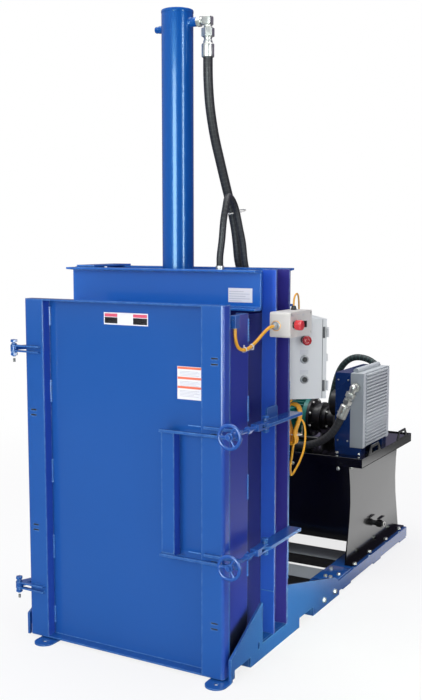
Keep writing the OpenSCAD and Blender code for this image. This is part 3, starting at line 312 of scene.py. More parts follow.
def prism(shape, across, height, where, edge=0.0006, base=0.0):
    """A nut or bolt head, across its flats, with its top corners turned off."""
    part = bmesh.new()
    radius = across / 2000.0 / cos(pi / 6)
    bmesh.ops.create_cone(part, cap_ends=True, segments=6, radius1=radius, radius2=radius, depth=height / 1000.0)
    bmesh.ops.translate(part, vec=(0, 0, (base + height / 2.0) / 1000.0), verts=part.verts)
    top = max(v.co.z for v in part.verts)
    rims = [e for e in part.edges if all(abs(v.co.z - top) < 1e-7 for v in e.verts)]
    bmesh.ops.bevel(part, geom=rims, offset=edge, affect="EDGES", segments=2, profile=0.5, material=-1)
    add_part(shape, part, where)


def bolt_head(shape, place, direction, across=19.0, roll=0.2, tail=0.0):
    """Hexagon bolt head on its washer, with the stub of the thread where it stands out."""
    where = aim(place, direction, roll)
    turned(shape, [(0, 0), (across * 0.66, 0), (across * 0.66, 2.0), (across * 0.62, 2.5), (0, 2.5)], where, 24)
    prism(shape, across, across * 0.42, where, edge=0.0009, base=2.5)
    if tail:
        turned(shape, [(0, 0), (across * 0.30, 0), (across * 0.30, tail - 1), (across * 0.24, tail), (0, tail)],
               where, 16)


def finished(name, shape, finish, slot, *stands_for, body="frame", angle=38):
    """Turns a shape into a named piece, in one finish or a list of them, that rides on its body."""
    mesh = bpy.data.meshes.new(name)
    shape.to_mesh(mesh)
    shape.free()
    for layer in finish if isinstance(finish, list) else [finish]:
        mesh.materials.append(layer)
    mesh.shade_smooth()
    mesh.set_sharp_from_angle(angle=radians(angle))
    made = stood(name, mesh)
    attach(made, body)
    if stands_for:
        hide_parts(*stands_for)
    return made


zinc = finish_of("zinc_plate", (214, 214, 208), 60.0, 1800.0, 0.20, (0.32, 0.48), 0.12, 0.0003, 0.0006, metal=1.0)
bolts = bmesh.new()
for side in (-1, 1):
    for y in (439, 561):
        bolt_head(bolts, (side * 472, y, 34), (side, 0, 0), 19)
finished("base_bolts", bolts, zinc, "zinc_steel")

# ---- Uprights, door posts and drum chamber ----
# Rolled channels stand on the base and carry the crosshead; a rolled sheet wall closes the sides and back.
# Stitch welds join each door post to the wall behind it; behind the gusset the post is painted dark as shadow.

# The columns' front faces are painted a brighter blue as the light on them; their sides and rear flanges take a violet
# blue as painted shade.
column_lit_shaded_enamel = enamel("column_lit_shaded_enamel", (46, 94, 206), (128, 188, 242), radius=0.005,
                       side_shade=(56, 52, 138), shade_from=0.0)
# The chamber wall is painted a dark violet blue as shade, deeper again on its sideways faces.
shell_shade_enamel = enamel("shell_shade_enamel", (36, 40, 112), (72, 96, 176), side_shade=(34, 30, 92))
# The door posts' sideways faces take a deeper blue as painted shade.
post_shade_enamel = enamel("post_shade_enamel", (34, 74, 160), (104, 164, 226), (0.3, 0.42), 0.004, coat=0.06,
                     side_shade=(24, 44, 148))
# Below a slanted line behind the gusset the post is painted near black as the gusset's shadow.
tree = post_shade_enamel.node_tree
height = put(tree, "VectorMath DOT_PRODUCT", put(tree, "TexCoord").outputs["Object"], (0.0, -0.375, 1.0))
height = put(tree, "MapRange", height.outputs["Value"], 0.325, 0.288, interpolation_type="SMOOTHSTEP")
second_tone(post_shade_enamel, height, (8, 10, 30))
coat_nodes(post_shade_enamel, "door_posts")
coat_nodes(column_lit_shaded_enamel, "column_right", "column_left")
coat_nodes(shell_shade_enamel, "chamber_shell")


def pulled(shape, edges):
    """Draws edges out where they are, and gives the new corners and the new edges between them."""
    fresh = bmesh.ops.extrude_edge_only(shape, edges=edges)["geom"]
    corners = [g for g in fresh if isinstance(g, bmesh.types.BMVert)]
    return corners, [g for g in fresh if isinstance(g, bmesh.types.BMEdge) and all(v in corners for v in g.verts)]


def weld_bead(shape, start, end, size=5.0, pitch=5.0, seed=1):
    """A hand-laid fillet bead from start to end in millimetres, with its ripple."""
    chance = random.Random(seed)
    a, b = Vector(start) / 1000.0, Vector(end) / 1000.0
    count = max(6, int((b - a).length * 1000.0 / pitch) * 2)
    part = bmesh.new()
    bmesh.ops.create_circle(part, cap_ends=False, radius=size / 2000.0, segments=7, matrix=aim(start, b - a))
    edges = list(part.edges)
    bmesh.ops.contextual_create(part, geom=edges)
    last, now = a, size / 2000.0
    for i in range(1, count + 1):
        ring, edges = pulled(part, edges)
        goal = a.lerp(b, i / count)
        want = size / 2000.0 * (1.4 if i % 2 else 0.55) * chance.uniform(0.92, 1.08)
        bmesh.ops.translate(part, vec=goal - last, verts=ring)
        bmesh.ops.scale(part, vec=(want / now,) * 3, verts=ring, space=Matrix.Translation(-goal))
        last, now = goal, want
    bmesh.ops.contextual_create(part, geom=edges)
    add_part(shape, part)


# The beads are painted a lighter blue than the plate as a highlight on their ripples.
weld_highlight_enamel = enamel("weld_highlight_enamel", (70, 130, 205), (170, 212, 244), (0.14, 0.24), 0.002, spread=0.8, coarse=70.0)
welds = bmesh.new()
for side in (-1, 1):
    for k, (low, high) in enumerate(((1232, 1316), (935, 1030), (640, 735), (345, 440))):
        weld_bead(welds, (side * 441.6, -236.2, low), (side * 441.6, -236.2, high), 9.0, 9.5, 7 + k)
    for k, y in enumerate((-63.5, 63.5)):
        weld_bead(welds, (side * 470, y * 0.985, 232), (side * 416, y * 0.985, 232), 4.5, 5.0, 31 + k)
    weld_bead(welds, (side * 471.0, 65.5, 246), (side * 471.0, 65.5, 1050), 3.6, 12.0, 40)
finished("upright_welds", welds, weld_highlight_enamel, "blue_paint", angle=80)

# ---- Crosshead ----
# Two channels on edge, back to back across the uprights, tied by plates, with a seat for the cylinder's flange.
# Each joint carries a fillet weld, and a blank film plate is stuck to the front web.

# The crosshead is painted a lighter blue than the frame as the light on it.
head_lit_enamel = enamel("head_lit_enamel", (34, 104, 194), (126, 186, 240), (0.14, 0.24), radius=0.0042, edge_highlight_share=0.85)
coat_nodes(head_lit_enamel, "crosshead_front", "crosshead_rear", "crosshead_plates")
welds = bmesh.new()
for side in (-1, 1):
    for k, y in enumerate((-115.5, 115.5)):
        weld_bead(welds, (side * 413.5, y, 1350), (side * 413.5, y, 1478), 5.0, 5.0, 51 + k)
    weld_bead(welds, (side * 408, -118.5, 1337.5), (side * 330, -118.5, 1337.5), 5.0, 5.0, 55)
weld_bead(welds, (-434, -101, 1493), (-350, -101, 1493), 5.0, 5.0, 57)
finished("crosshead_welds", welds, weld_highlight_enamel, "blue_paint", angle=80)

bolts = bmesh.new()
for angle in (45, 135, 225, 315):
    x, y = 86 * cos(radians(angle)), 86 * sin(radians(angle))
    bolt_head(bolts, (x, y, 1462), (0, 0, 1), 24, radians(angle))
finished("flange_bolts", bolts, zinc, "zinc_steel")


def slab(shape, low, high, edge=0.0008, steps=2, where=None):
    """A plate or block between two corners in millimetres, its edges broken."""
    part = bmesh.new()
    bmesh.ops.create_cube(part, size=1.0)
    low, high = Vector(low) / 1000.0, Vector(high) / 1000.0
    bmesh.ops.scale(part, vec=high - low, verts=part.verts)
    bmesh.ops.translate(part, vec=(low + high) / 2.0, verts=part.verts)
    bmesh.ops.bevel(part, geom=list(part.edges), offset=edge, affect="EDGES", segments=steps, profile=0.5,
                    material=-1, clamp_overlap=True)
    add_part(shape, part, where)


def stuck_plate(name, body, face_y, plate, fields):
    """A film plate on a face that looks along -Y, with flat fields of ink, each (x0, z0, x1, z1)."""
    pieces = [(plate, white_film, 0.35)] + [(box, ink, 0.45) for box, ink in fields]
    inks = []
    shape = bmesh.new()
    for (x0, z0, x1, z1), ink, lift in pieces:
        if ink not in inks:
            inks.append(ink)
        count = len(shape.faces)
        slab(shape, (x0, face_y - lift, z0), (x1, face_y - 0.02, z1), 0.00008, 1)
        shape.faces.ensure_lookup_table()
        for face in shape.faces[count:]:
            face.material_index = inks.index(ink)
    finished(name, shape, inks, "grey_enamel", body=body, angle=30)


white_film, grey_ink, orange_ink, rose_ink, black_ink = (
    finish_of(name, paint, 90.0, 2200.0, 0.05, (0.28, 0.4), 0.05, 0.0002) for name, paint in (
        ("white_film", (238, 239, 241)), ("grey_ink", (196, 199, 205)), ("orange_ink", (243, 122, 88)),
        ("rose_ink", (226, 92, 118)), ("black_ink", (38, 36, 38))))


def rows(x, z, widths, step, thick):
    """Rows of grey ink, one under the other."""
    return [((x, z - step * k, x + w, z - step * k + thick), grey_ink) for k, w in enumerate(widths)]


stuck_plate("crosshead_plate", "frame", -125, (299, 1366, 402, 1420), rows(303, 1406, (62, 88, 70, 90, 54), 9, 2))

# ---- Hydraulic cylinder and ram ----
# A honed steel tube with a welded base flange and a welded cap, enamelled blue.
# The ram's rod is hard chromed; its round platen is plate with a welded hub.

tube_enamel = enamel("tube_enamel", (4, 80, 162), (60, 128, 205), (0.25, 0.27), 0.0012, 0.42, 0.06, 0.5)
skin_of(tube_enamel)["Coat Roughness"].default_value = 0.1
skin_of(tube_enamel)["Specular Tint"].default_value = (0.3, 0.75, 1.0, 1.0)
coat_nodes(tube_enamel, "cylinder_barrel", "cylinder_cap")
barrel = bmesh.new()
turned(barrel, [(52.5, 1330), (63.5, 1330), (63.5, 1440), (105, 1440), (105, 1441), (105, 1460), (103.5, 1462),
                (72, 1462), (70.5, 1463.5), (68, 1468), (65, 1471), (63.5, 1471.6), (63.5, 1476), (63.5, 2411),
                (63.5, 2417.1), (52.5, 2417.1), (50.8, 2412), (50.8, 1334), (52.5, 1330)], None, 96)
turned(barrel, [(0, 52), (17, 52), (17, 76.5), (16, 77.5), (0, 77.5)], aim((0, 0, 1391), (1, 0, 0)))
finished("barrel_tube", barrel, tube_enamel, "blue_paint", "cylinder_barrel", angle=30)

cap = bmesh.new()
turned(cap, [(0, 2417.15), (63.5, 2417.15), (63.5, 2422), (63.5, 2484), (63.0, 2488.5), (63.2, 2489.6), (64.5, 2491),
             (64.5, 2498), (63, 2501), (60.5, 2502), (20, 2502), (18, 2500.6), (0, 2500.6)], None, 96)
turned(cap, [(0, 50), (24, 50), (23, 60), (18.6, 64), (18, 66), (18, 91), (17, 92), (0, 92)],
       aim((0, 0, 2449), (1, 0, 0)), 40)
turned(cap, [(0, 50), (19, 50), (18, 62), (15, 65), (15, 83), (14, 84), (0, 84)], aim((0, 0, 2435), (-1, 0, 0)), 40)
turned(cap, [(0, 84), (12.4, 84), (13, 86), (13, 97), (11.5, 100), (5, 101.8), (0, 102)],
       aim((0, 0, 2435), (-1, 0, 0)), 40)
finished("cylinder_cap_turned", cap, tube_enamel, "blue_paint", "cylinder_cap", angle=30)

coat_nodes(finish_of("hard_chrome", (214, 217, 220), 8.0, 1400.0, 0.06, (0.06, 0.12), metal=1.0), "piston_rod")
coat_nodes(zinc, "rod_gland")
coat_nodes(blue_enamel, "platen")

# ---- Cylinder plumbing ----
# Plated steel fittings: a forged elbow and swivel nuts at the cap, crimped ferrules on each hose end.
# A straight fitting on the crosshead feeds the rod side; two more elbows turn at the oil cooler.

steel = bmesh.new()
right = (1, 0, 0)
prism(steel, 37, 15.5, aim((92.2, 0, 2449), right), 0.0012)
turned(steel, [(0, 0), (15, 0), (15, 1.5), (13.4, 3), (13.4, 9), (15.2, 10.5), (15.2, 11.5), (0, 11.5)],
       aim((107, 0, 2449), right), 32)
slab(steel, (118.5, -17.5, 2430), (156.5, 17.5, 2466.5), 0.006, 4)
turned(steel, [(0, 0), (16.2, 0), (16.2, 6), (14, 9), (14, 12), (0, 12)], aim((139, 0, 2431), (0, 0, -1)))
prism(steel, 45, 32, aim((139, 0, 2419.5), (0, 0, -1), 0.4), 0.0014)
turned(steel, [(0, 0), (21, 0), (21, 1.4), (17.4, 3.2), (15.6, 8), (15.4, 13), (17.8, 16), (18.2, 18), (18.2, 25),
               (22.6, 27.5), (24.6, 30), (25, 33), (24.6, 45), (24.9, 52), (24.5, 60), (24.9, 68), (24.6, 76.5),
               (23.6, 78.4), (21, 79), (18.9, 79), (18.9, 60)], aim((139, 0, 2388), (0, 0, -1)), 48)
turned(steel, [(0, 1391), (13, 1391), (13, 1461), (0, 1461)], aim((193, 0, 0)), 32)
prism(steel, 31.5, 16, aim((193, 0, 1462), (0, 0, 1), 0.3), 0.0012)
turned(steel, [(0, 0), (14.4, 0), (14.4, 1.6), (16.4, 3.4), (16.9, 9), (16.6, 14), (16.9, 20), (15.8, 22), (13.6, 22.2),
               (13.6, 10)], aim((193, 0, 1478)), 40)
turned(steel, [(0, 0), (11.2, 0), (11.2, 116.8), (0, 116.8)], aim((77.6, 0, 1391), right), 24)
elbow, elbow_way = Vector((415, 905, 905)), Vector((-0.3907, 0, -0.9205))
turned(steel, [(0, -19), (9, -17), (16, -11), (19, 0), (16, 11), (16, 27), (0, 27)], aim(elbow, elbow_way), 32)
prism(steel, 41, 24, aim(elbow, elbow_way, 0.2), 0.0014, 26)
turned(steel, [(0, 49), (15, 49), (15, 52), (17, 54), (17, 60), (15, 62), (0, 62)], aim(elbow, elbow_way), 32)
prism(steel, 39, 22, aim(elbow, elbow_way, 0.6), 0.0014, 62)
turned(steel, [(0, 84), (17, 84), (17, 90), (21, 93), (23.6, 95.5), (24, 98), (23.4, 108), (24, 118), (23.4, 128),
               (24, 138), (23.4, 148), (23.8, 157), (22.5, 159.5), (19, 160), (19, 140)], aim(elbow, elbow_way), 48)
back = Vector((0, 1, 0))
turned(steel, [(0, 0), (14.9, 0), (14.9, 40), (0, 40)], aim(elbow, back), 32)
prism(steel, 43, 18, aim(elbow, back, 0.3), 0.0014, 14)
loop_end, loop_way = Vector((415, 1349, 905)), Vector((-0.6157, 0, 0.788))
turned(steel, [(0, -17), (9, -14.5), (14.5, -9), (16.8, 0), (14, 9), (14, 25), (0, 25)], aim(loop_end, loop_way), 32)
prism(steel, 37, 20, aim(loop_end, loop_way, 0.2), 0.0012, 24)
turned(steel, [(0, 44), (18, 44), (19.9, 46), (19.9, 58), (19, 60), (16.4, 60), (16.4, 50)],
       aim(loop_end, loop_way), 40)
turned(steel, [(0, 0), (13.9, 0), (13.9, 39.7), (0, 39.7)], aim(loop_end, -back), 32)
prism(steel, 43, 18, aim(loop_end, -back, 0.3), 0.0014, 14)
finished("cylinder_and_cooler_plumbing", steel, zinc, "zinc_steel", "hose_fittings", angle=34)

# ---- Door ----
# A plate leaf between two folded stiles, with a channel brace and the flat keeper bars for the latches.
# Stitch welds hold the leaf to the stiles; two plain film plates are stuck on the leaf.

# The stiles' sideways faces take a deeper blue as painted shade.
door_enamel = enamel("door_enamel", (31, 87, 163), (110, 168, 226), (0.10, 0.18), radius=0.009,
                     side_shade=(38, 72, 172))
coat_nodes(blue_enamel, "door_panel", "hinge_straps")
coat_nodes(door_enamel, "door_stiles", "door_brace")
# Black blocks fill the stile slots as painted shadow inside them.
slot_shadows = bmesh.new()
for side in (-1, 1):
    for z in (208, 459, 925, 1176):
        for lift in (-10.5, 10.5):
            slab(slot_shadows, (side * 409 - 13.7, -429.4, z + lift - 2.3),
                 (side * 409 + 13.7, -423.0, z + lift + 2.3), 0.0002, 1)
welds = bmesh.new()
for k, (low, high) in enumerate(((1268, 1345), (965, 1055), (640, 735), (330, 425), (60, 130))):
    for x, seed in ((-353.4, 71), (353.4, 81)):
        weld_bead(welds, (x, -388.6, low), (x, -388.6, high), 8.0, 9.0, seed + k)
for z in (938.5, 470.5):
    weld_bead(welds, (352, -428.8, z), (300, -428.8, z), 4.0, 5.0, 91)
finished("door_welds", welds, weld_highlight_enamel, "blue_paint", body="door", angle=80)

notice = [((-91, 1314, -33, 1326), rose_ink), ((-91, 1289, -33, 1312), black_ink),
          ((38, 1314, 100, 1326), rose_ink), ((38, 1288, 100, 1312), black_ink)]
notice += rows(-88, 1307, (44, 50, 30, 20), 5, 1.5) + rows(41, 1307, (52, 46, 34, 50), 5, 1.5)
stuck_plate("door_plate_wide", "door", -387, (-95, 1284, 104, 1330), notice)
sheet = [((231, z, 330, z + 8.5), orange_ink) for z in (1135, 1098, 1064)]
for z, widths in ((1126, (78, 84, 70, 82)), (1089, (78, 84, 70, 82)), (1055, (82, 74, 84, 60, 80))):
    sheet += rows(240, z, widths, 5, 1.6)
stuck_plate("door_plate_tall", "door", -387, (230, 1024, 331, 1145), sheet)
finished("slot_shadow_fills", slot_shadows, black_ink, "black_paint", body="door")

# ---- Hinges and swing-bolt latches ----
# Flat straps on turned pins at the left; at the right two eye bolts swing in between the keeper bars.
# A cast handwheel on each bolt is spun down against its washer.

coat_nodes(blue_enamel, "hinge_lugs", "latch_brackets", "pivot_pins", "cabinet_bracket")
cast_enamel = enamel("cast_enamel", (30, 84, 166), (110, 168, 232), (0.16, 0.28), 0.0024, 0.32, 0.14, 0.6)
coat_nodes(cast_enamel, "swing_bolt_upper", "swing_bolt_lower", "handwheel_upper", "handwheel_lower",
           "latch_washer_upper", "latch_washer_lower")
for level, z in (("lower", 459), ("upper", 925)):
    wheel = bmesh.new()
    face = aim((500, -450.2, z), (0, -1, 0))
    turned(wheel, [(8.2, 0.2), (14, 0.2), (15, 1.4), (15, 9), (13.4, 12), (12.4, 20), (13.2, 29), (15, 31.5),
                   (15, 38.5), (13.6, 41), (8.2, 41), (8.2, 0.2)], face, 40)
    rim = bmesh.new()
    bmesh.ops.create_circle(rim, cap_ends=False, radius=0.0066, segments=14,
                            matrix=Matrix.Translation((0.0414, 0, 0.036)) @ Matrix.Rotation(pi / 2, 4, "X"))
    bmesh.ops.spin(rim, geom=list(rim.verts) + list(rim.edges), cent=(0, 0, 0), axis=(0, 0, 1), angle=2 * pi,
                   steps=56, use_merge=True)
    bmesh.ops.delete(rim, geom=[v for v in rim.verts if not v.link_faces], context="VERTS")
    add_part(wheel, rim, face)
    for angle in (90, 210, 330):
        spoke = [(0, 9), (5.2, 9), (4.7, 14), (4.5, 24), (4.9, 33), (6.0, 38), (0, 38)]
        turned(wheel, spoke, face @ Matrix.Rotation(radians(angle + 90), 4, "Z")
               @ Matrix.Translation((0, 0, 0.036)) @ Matrix.Rotation(pi / 2, 4, "Y"), 14)
    cad_wheel = "handwheel_" + level
    finished(cad_wheel + "_cast", wheel, cast_enamel, "blue_paint", cad_wheel, body=cad_wheel)
stub = bmesh.new()
for z in (208, 1176):
    for k in range(7):
        low = z - 41 - 2.0 * k
        turned(stub, [(4.3, low), (5.1, low - 1.0), (4.3, low - 2.0)], aim((-497, -436, 0)), 18)
bare_thread = finish_of("bare_thread", (176, 176, 172), 80.0, 1500.0, 0.3, (0.3, 0.5), metal=1.0)
finished("hinge_pin_threads", stub, bare_thread, "zinc_steel", angle=50)

# ---- Door switch and pushbutton station ----
# A small moulded limit switch on the door post, wired in yellow jacketed cable to a die-cast box.
# The box carries a red mushroom stop and a turn knob; its lid is held by four corner screws.


def smooth_paint(name, colour, rough, spread=0.05, coat=0.0, coarse=3.0, peel=0.05, metal=0.0):
    """Powder coat, moulded plastic or plated metal, slightly uneven."""
    return finish_of(name, colour, coarse, 420.0, spread, rough, peel, 0.0006, 0.0008, coat, metal)


station_grey = smooth_paint("station_grey", (222, 220, 212), (0.34, 0.46), 0.04)
black_plastic = smooth_paint("black_plastic", (24, 24, 26), (0.32, 0.44), 0.10)
stop_pink = smooth_paint("stop_salmon", (214, 52, 58), (0.26, 0.36), coat=0.3)
coat_nodes(station_grey, "station_box")
coat_nodes(blue_enamel, "door_switch")
coat_nodes(black_plastic, "station_knob", "cooler_motor", "cooler_fan")
screws = bmesh.new()
for y in (-108, 70):
    for z in (1248.5, 1323.5):
        turned(screws, [(0, 0.2), (4.2, 0.2), (4.2, 1.6), (3.2, 2.6), (1.4, 2.9), (1.4, 1.6), (0, 1.6)],
               aim((555.6, y, z), (1, 0, 0)), 20)
finished("station_screws", screws, zinc, "zinc_steel")


def grip_head(name, node, body, colour, profile, ribs, depth, where, slot):
    """A turned press head whose rim is cut into finger ribs."""
    part = bmesh.new()
    turned(part, profile, None, ribs * 4)
    for v in part.verts:
        out = hypot(v.co.x, v.co.y)
        if out > 0.0125:
            turn = atan2(v.co.y, v.co.x)
            cut = depth / 1000.0 * (0.5 - 0.5 * cos(ribs * turn)) * min(1.0, (out - 0.0125) / 0.003)
            pull = 1.0 - cut / out
            v.co.x, v.co.y = v.co.x * pull, v.co.y * pull
    bmesh.ops.transform(part, matrix=where, verts=part.verts)
    finished(name, part, colour, slot, node, body=body, angle=40)


mushroom_at = aim((556, -85, 1286), (1, 0, 0))
grip_head("station_mushroom_head", "station_mushroom", "station_mushroom", stop_pink,
          [(0, -12), (6, -12), (6, 14), (15.4, 14), (15.4, 8), (16.4, 7.4), (17.8, 8.6), (18.6, 16), (19, 25),
           (19, 32.6), (18.2, 34.8), (16.4, 36.4), (13.4, 37), (0, 37)], 14, 2.0, mushroom_at, "salmon_plastic")
marks = bmesh.new()
for y, z, w in ((-104, 1322, 26), (-104, 1318, 18), (-62, 1322, 10), (-46, 1322, 12), (-8, 1320, 16),
                (-8, 1316, 20), (-48, 1264, 30), (-48, 1260, 22)):
    slab(marks, (555.7, y, z), (556.15, y + w, z + 1.8), 0.00005, 1)
finished("station_print", marks, grey_ink, "grey_enamel")

# ---- Control cabinet ----
# A folded steel cabinet in pale grey powder coat, turned to face the operator, with a hinged side door.
# Red stop head and two push buttons in chromed rings, each under a plain pale legend field.

cabinet_grey = smooth_paint("cabinet_grey", (215, 219, 217), (0.36, 0.48), 0.04)
coat_nodes(cabinet_grey, "cabinet_box", "cabinet_door")
stop_red = smooth_paint("stop_red", (176, 14, 24), (0.20, 0.30), coat=0.4)
coat_nodes(black_plastic, "start_button", "reset_button")
chrome_ring = smooth_paint("chromed_ring", (176, 180, 180), (0.22, 0.34), 0.06, 0.3, 30.0, 0.03, 0.15)
hinge_dark = smooth_paint("dark_hinge", (84, 86, 88), (0.4, 0.5), 0.10)
legend_grey = smooth_paint("legend_grey", (206, 211, 210), (0.4, 0.5), 0.04)
arrow_pink = smooth_paint("arrow_pink", (226, 150, 150), (0.35, 0.45))
cabinet_at = Matrix.Translation((0.530, 0.253, 0.0)) @ Matrix.Rotation(radians(40), 4, "Z")


def on_cabinet(x, z):
    """A place on the cabinet's front, facing out of it."""
    return cabinet_at @ aim((x, 0, z), (0, -1, 0))


stop_at = on_cabinet(-76, 1200)
grip_head("stop_head", "estop_head", "estop", stop_red,
          [(0, -15), (10, -15), (10, 19), (16.6, 19), (16.8, 26), (18.6, 26.4), (19.9, 28), (19.9, 36), (19.4, 38.6),
           (17.6, 41), (15.4, 42.6), (12.6, 43), (11.6, 41.6), (0, 41.2)], 10, 1.2, stop_at, "red_plastic")
arrows = bmesh.new()
for k in range(3):
    inner, outer = ([arrows.verts.new(stop_at @ Vector((r * cos(t), r * sin(t), 0.0416)))
                     for t in [radians(k * 120 + 8 * j) for j in range(11)]] for r in (0.0076, 0.0094))
    for j in range(10):
        arrows.faces.new((inner[j], outer[j], outer[j + 1], inner[j + 1]))
bmesh.ops.recalc_face_normals(arrows, faces=arrows.faces)
bmesh.ops.solidify(arrows, geom=list(arrows.faces), thickness=0.0004)
finished("stop_arrows", arrows, arrow_pink, "red_plastic", body="estop")
rings, leaves, glands = bmesh.new(), bmesh.new(), bmesh.new()
turned(glands, [(10.5, 0), (17, 0), (17, 9), (15.5, 12), (10.5, 12), (10.5, 0)], stop_at, 40)
for z in (1120, 1038):
    turned(rings, [(10.6, 0), (17.5, 0), (17.5, 2.6), (16.4, 4.4), (14.0, 6.6), (12.2, 7), (11.4, 6.4), (10.6, 5),
                   (10.6, 0)], on_cabinet(-76, z), 48)
for z in (988, 1206):
    slab(leaves, (1, -2.5, z), (10, 0, z + 46), 0.0006, 2, cabinet_at)
    for k in range(6):
        slab(leaves, (2, -3.4, z + 3 + 7 * k), (9, -2.4, z + 7 + 7 * k), 0.0004, 1, cabinet_at)
slab(leaves, (-1.6, -0.5, 960), (0.6, 0.0, 1282), 0.0002, 1, cabinet_at)
finished("cabinet_hinge_leaves", leaves, hinge_dark, "black_plastic", "panel_fittings")
for y in (-85, -25):
    turned(glands, [(6.4, 0), (12.8, 0), (12.8, 3.6), (11.8, 5), (6.4, 5), (6.4, 0)], aim((556, y, 1286), (1, 0, 0)),
           36)


def gland(shape, place, direction, across, length, bore):
    """Cable gland: locknut hexagon, domed sealing cap and a bore for the cable."""
    seat = aim(place, direction)
    prism(shape, across * 0.866, length * 0.34, seat)
    turned(shape, [(bore, length * 0.2), (across * 0.47, length * 0.34), (across * 0.47, length * 0.52),
                   (across * 0.41, length * 0.60), (across * 0.41, length * 0.80), (across * 0.33, length * 0.98),
                   (bore, length), (bore, length * 0.2)], seat, 32)


front_gland = ((498, -118, 1282.5), (0, -1, 0))
turned(rings, [(11.4, 0), (17, 0), (17, 3.4), (15.4, 5), (11.4, 5), (11.4, 0)], aim(*front_gland), 36)
gland(rings, *front_gland, 22, 25, 6.0)
gland(glands, (452, 190, 1284), (0, 0, 1), 22, 22, 3.6)
gland(glands, (502, 30, 1333.5), (0, 0, 1), 22, 16, 3.6)
gland(glands, (404, 250, 958), (0, 0, -1), 26, 16, 5.2)
collar = bmesh.new()
turned(collar, [(17.0, 0), (19.5, 0), (19.5, 1.6), (17.0, 2.4), (17.0, 0)], aim(*front_gland), 36)
yellow_jacket = finish_of("yellow_cable_jacket", (240, 172, 28), 30.0, 1500.0, 0.16, (0.34, 0.46), 0.12, 0.0004,
                          coat=0.15, coat_rough=0.3)
finished("station_gland_collar", collar, yellow_jacket, "yellow_jacket")
finished("button_rings", rings, chrome_ring, "zinc_steel", "panel_fittings")
finished("cable_glands", glands, black_plastic, "black_plastic", "panel_fittings")

legends, marks = bmesh.new(), bmesh.new()
for z in (1150, 1068):
    slab(legends, (-94, -0.35, z - 9), (-60, -0.02, z + 9), 0.0001, 1, cabinet_at)
    for x0, z0, x1, z1 in ((-94, 7.4, -60, 8.9), (-94, -8.9, -60, -8.2), (-94, -8.9, -92.2, 8.9),
                           (-60.8, -8.9, -60, 8.9), (-88, 2.4, -68, 4.0), (-88, -3.4, -74, -1.8)):
        slab(marks, (x0, -0.5, z + z0), (x1, -0.3, z + z1), 0.00005, 1, cabinet_at)
finished("cabinet_legends", legends, legend_grey, "grey_enamel")
finished("cabinet_legend_lines", marks, grey_ink, "grey_enamel")

# ---- Skid deck and oil tank ----
# Channels bolted across the skid are bare grey steel on top, painted near black below as shade; the tank is folded
# plate in gloss black.
# Its two end plates are waisted and flanged out at the foot, where bolts hold them to the rails.

tank_black = smooth_paint("gloss_black", (5, 5, 6), (0.13, 0.22), 0.12, 0.6)
tree = tank_black.node_tree
# The gloss is turned down towards the foot, a painted darker reflection over the flanged foot.
for label, full in (("Specular IOR Level", 0.5), ("Coat Weight", 0.6)):
    rise = put(tree, "MapRange", part_of(tree, "Z"), 0.062, 0.200, full * 0.45, full, interpolation_type="SMOOTHSTEP")
    feed(tree, rise, skin_of(tank_black)[label])
coat_nodes(tank_black, "tank", "tank_cover", "drain_valve")
steel_grey = smooth_paint("deck_grey", (150, 156, 160), (0.3, 0.5), 0.3, 0.0, 2.0, 0.1)
decks = bmesh.new()
for y in (590, 895, 1400):
    slab(decks, (-341, y + 3, 58.05), (341, y + 151, 59.3), 0.0004, 1)
finished("cross_channel_tops", decks, steel_grey, "bare_aluminium")
bolts = bmesh.new()
for x, y in ((467, 839), (462, 1050), (462, 1290), (462, 1500)):
    bolt_head(bolts, (x - 18, y + 30, 64), (0, 0, 1), 17, y * 0.01, 6)
for x, y in ((378, 748), (421, 638), (440, 690), (396, 640)):
    bolt_head(bolts, (x, y, 66), (0, 0, 1), 15, x * 0.01, 5)
for x in (126, 363, -110):
    bolt_head(bolts, (x, 857, 522), (0, -1, 0), 13, x * 0.02, 4)
for y in (900, 1108, 1320, 1524):
    bolt_head(bolts, (412, y, 524), (1, 0, 0), 13, y * 0.02, 4)
finished("power_unit_bolts", bolts, zinc, "zinc_steel", angle=34)
plate = bmesh.new()
slab(plate, (352, 600, 58.1), (458, 800, 66.1))
finished("skid_splice_plate", plate, blue_enamel, "blue_paint")
ring = bmesh.new()
turned(ring, [(7.6, 0), (13.2, 0), (13.2, 4), (7.6, 4), (7.6, 0)], aim((462.4, 1235, 169), (1, 0, 0)))
nylon_white = finish_of("nylon_tie", (226, 224, 214), 40.0, 1500.0, 0.08, (0.35, 0.5))
finished("drain_valve_ring", ring, nylon_white, "grey_enamel")
coat_nodes(black_plastic, "drain_handle")

# ---- Tank cover ----
# A shallow folded steel tray turned down over the tank, in the same gloss black.
# A low rim runs round its top, and a matt black strip under its hem on the right is painted shadow.

rim = bmesh.new()
for low, high in (((478.2, 857, 573), (482, 1588, 579)), ((-218, 857, 573), (-214.2, 1588, 579)),
                  ((-214.2, 857, 573), (478.2, 860.8, 579)), ((-214.2, 1584.2, 573), (478.2, 1588, 579))):
    slab(rim, low, high, 0.0006, 1)
finished("tank_cover_rim", rim, tank_black, "black_paint")
# a matt black strip under the hem as painted shadow
hem_shadow = bmesh.new()
slab(hem_shadow, (481.4, 858, 535.2), (482.0, 1587, 538.6), 0.0002, 1)
finished("tank_cover_hem_shadow", hem_shadow, black_ink, "black_paint")

# ---- Motor, pump and valve block ----
# A finned aluminium motor in teal enamel drives the pump through a black bell housing.
# The pump, valve block and filter are black; cap screws, nuts and unions are zinc plated.

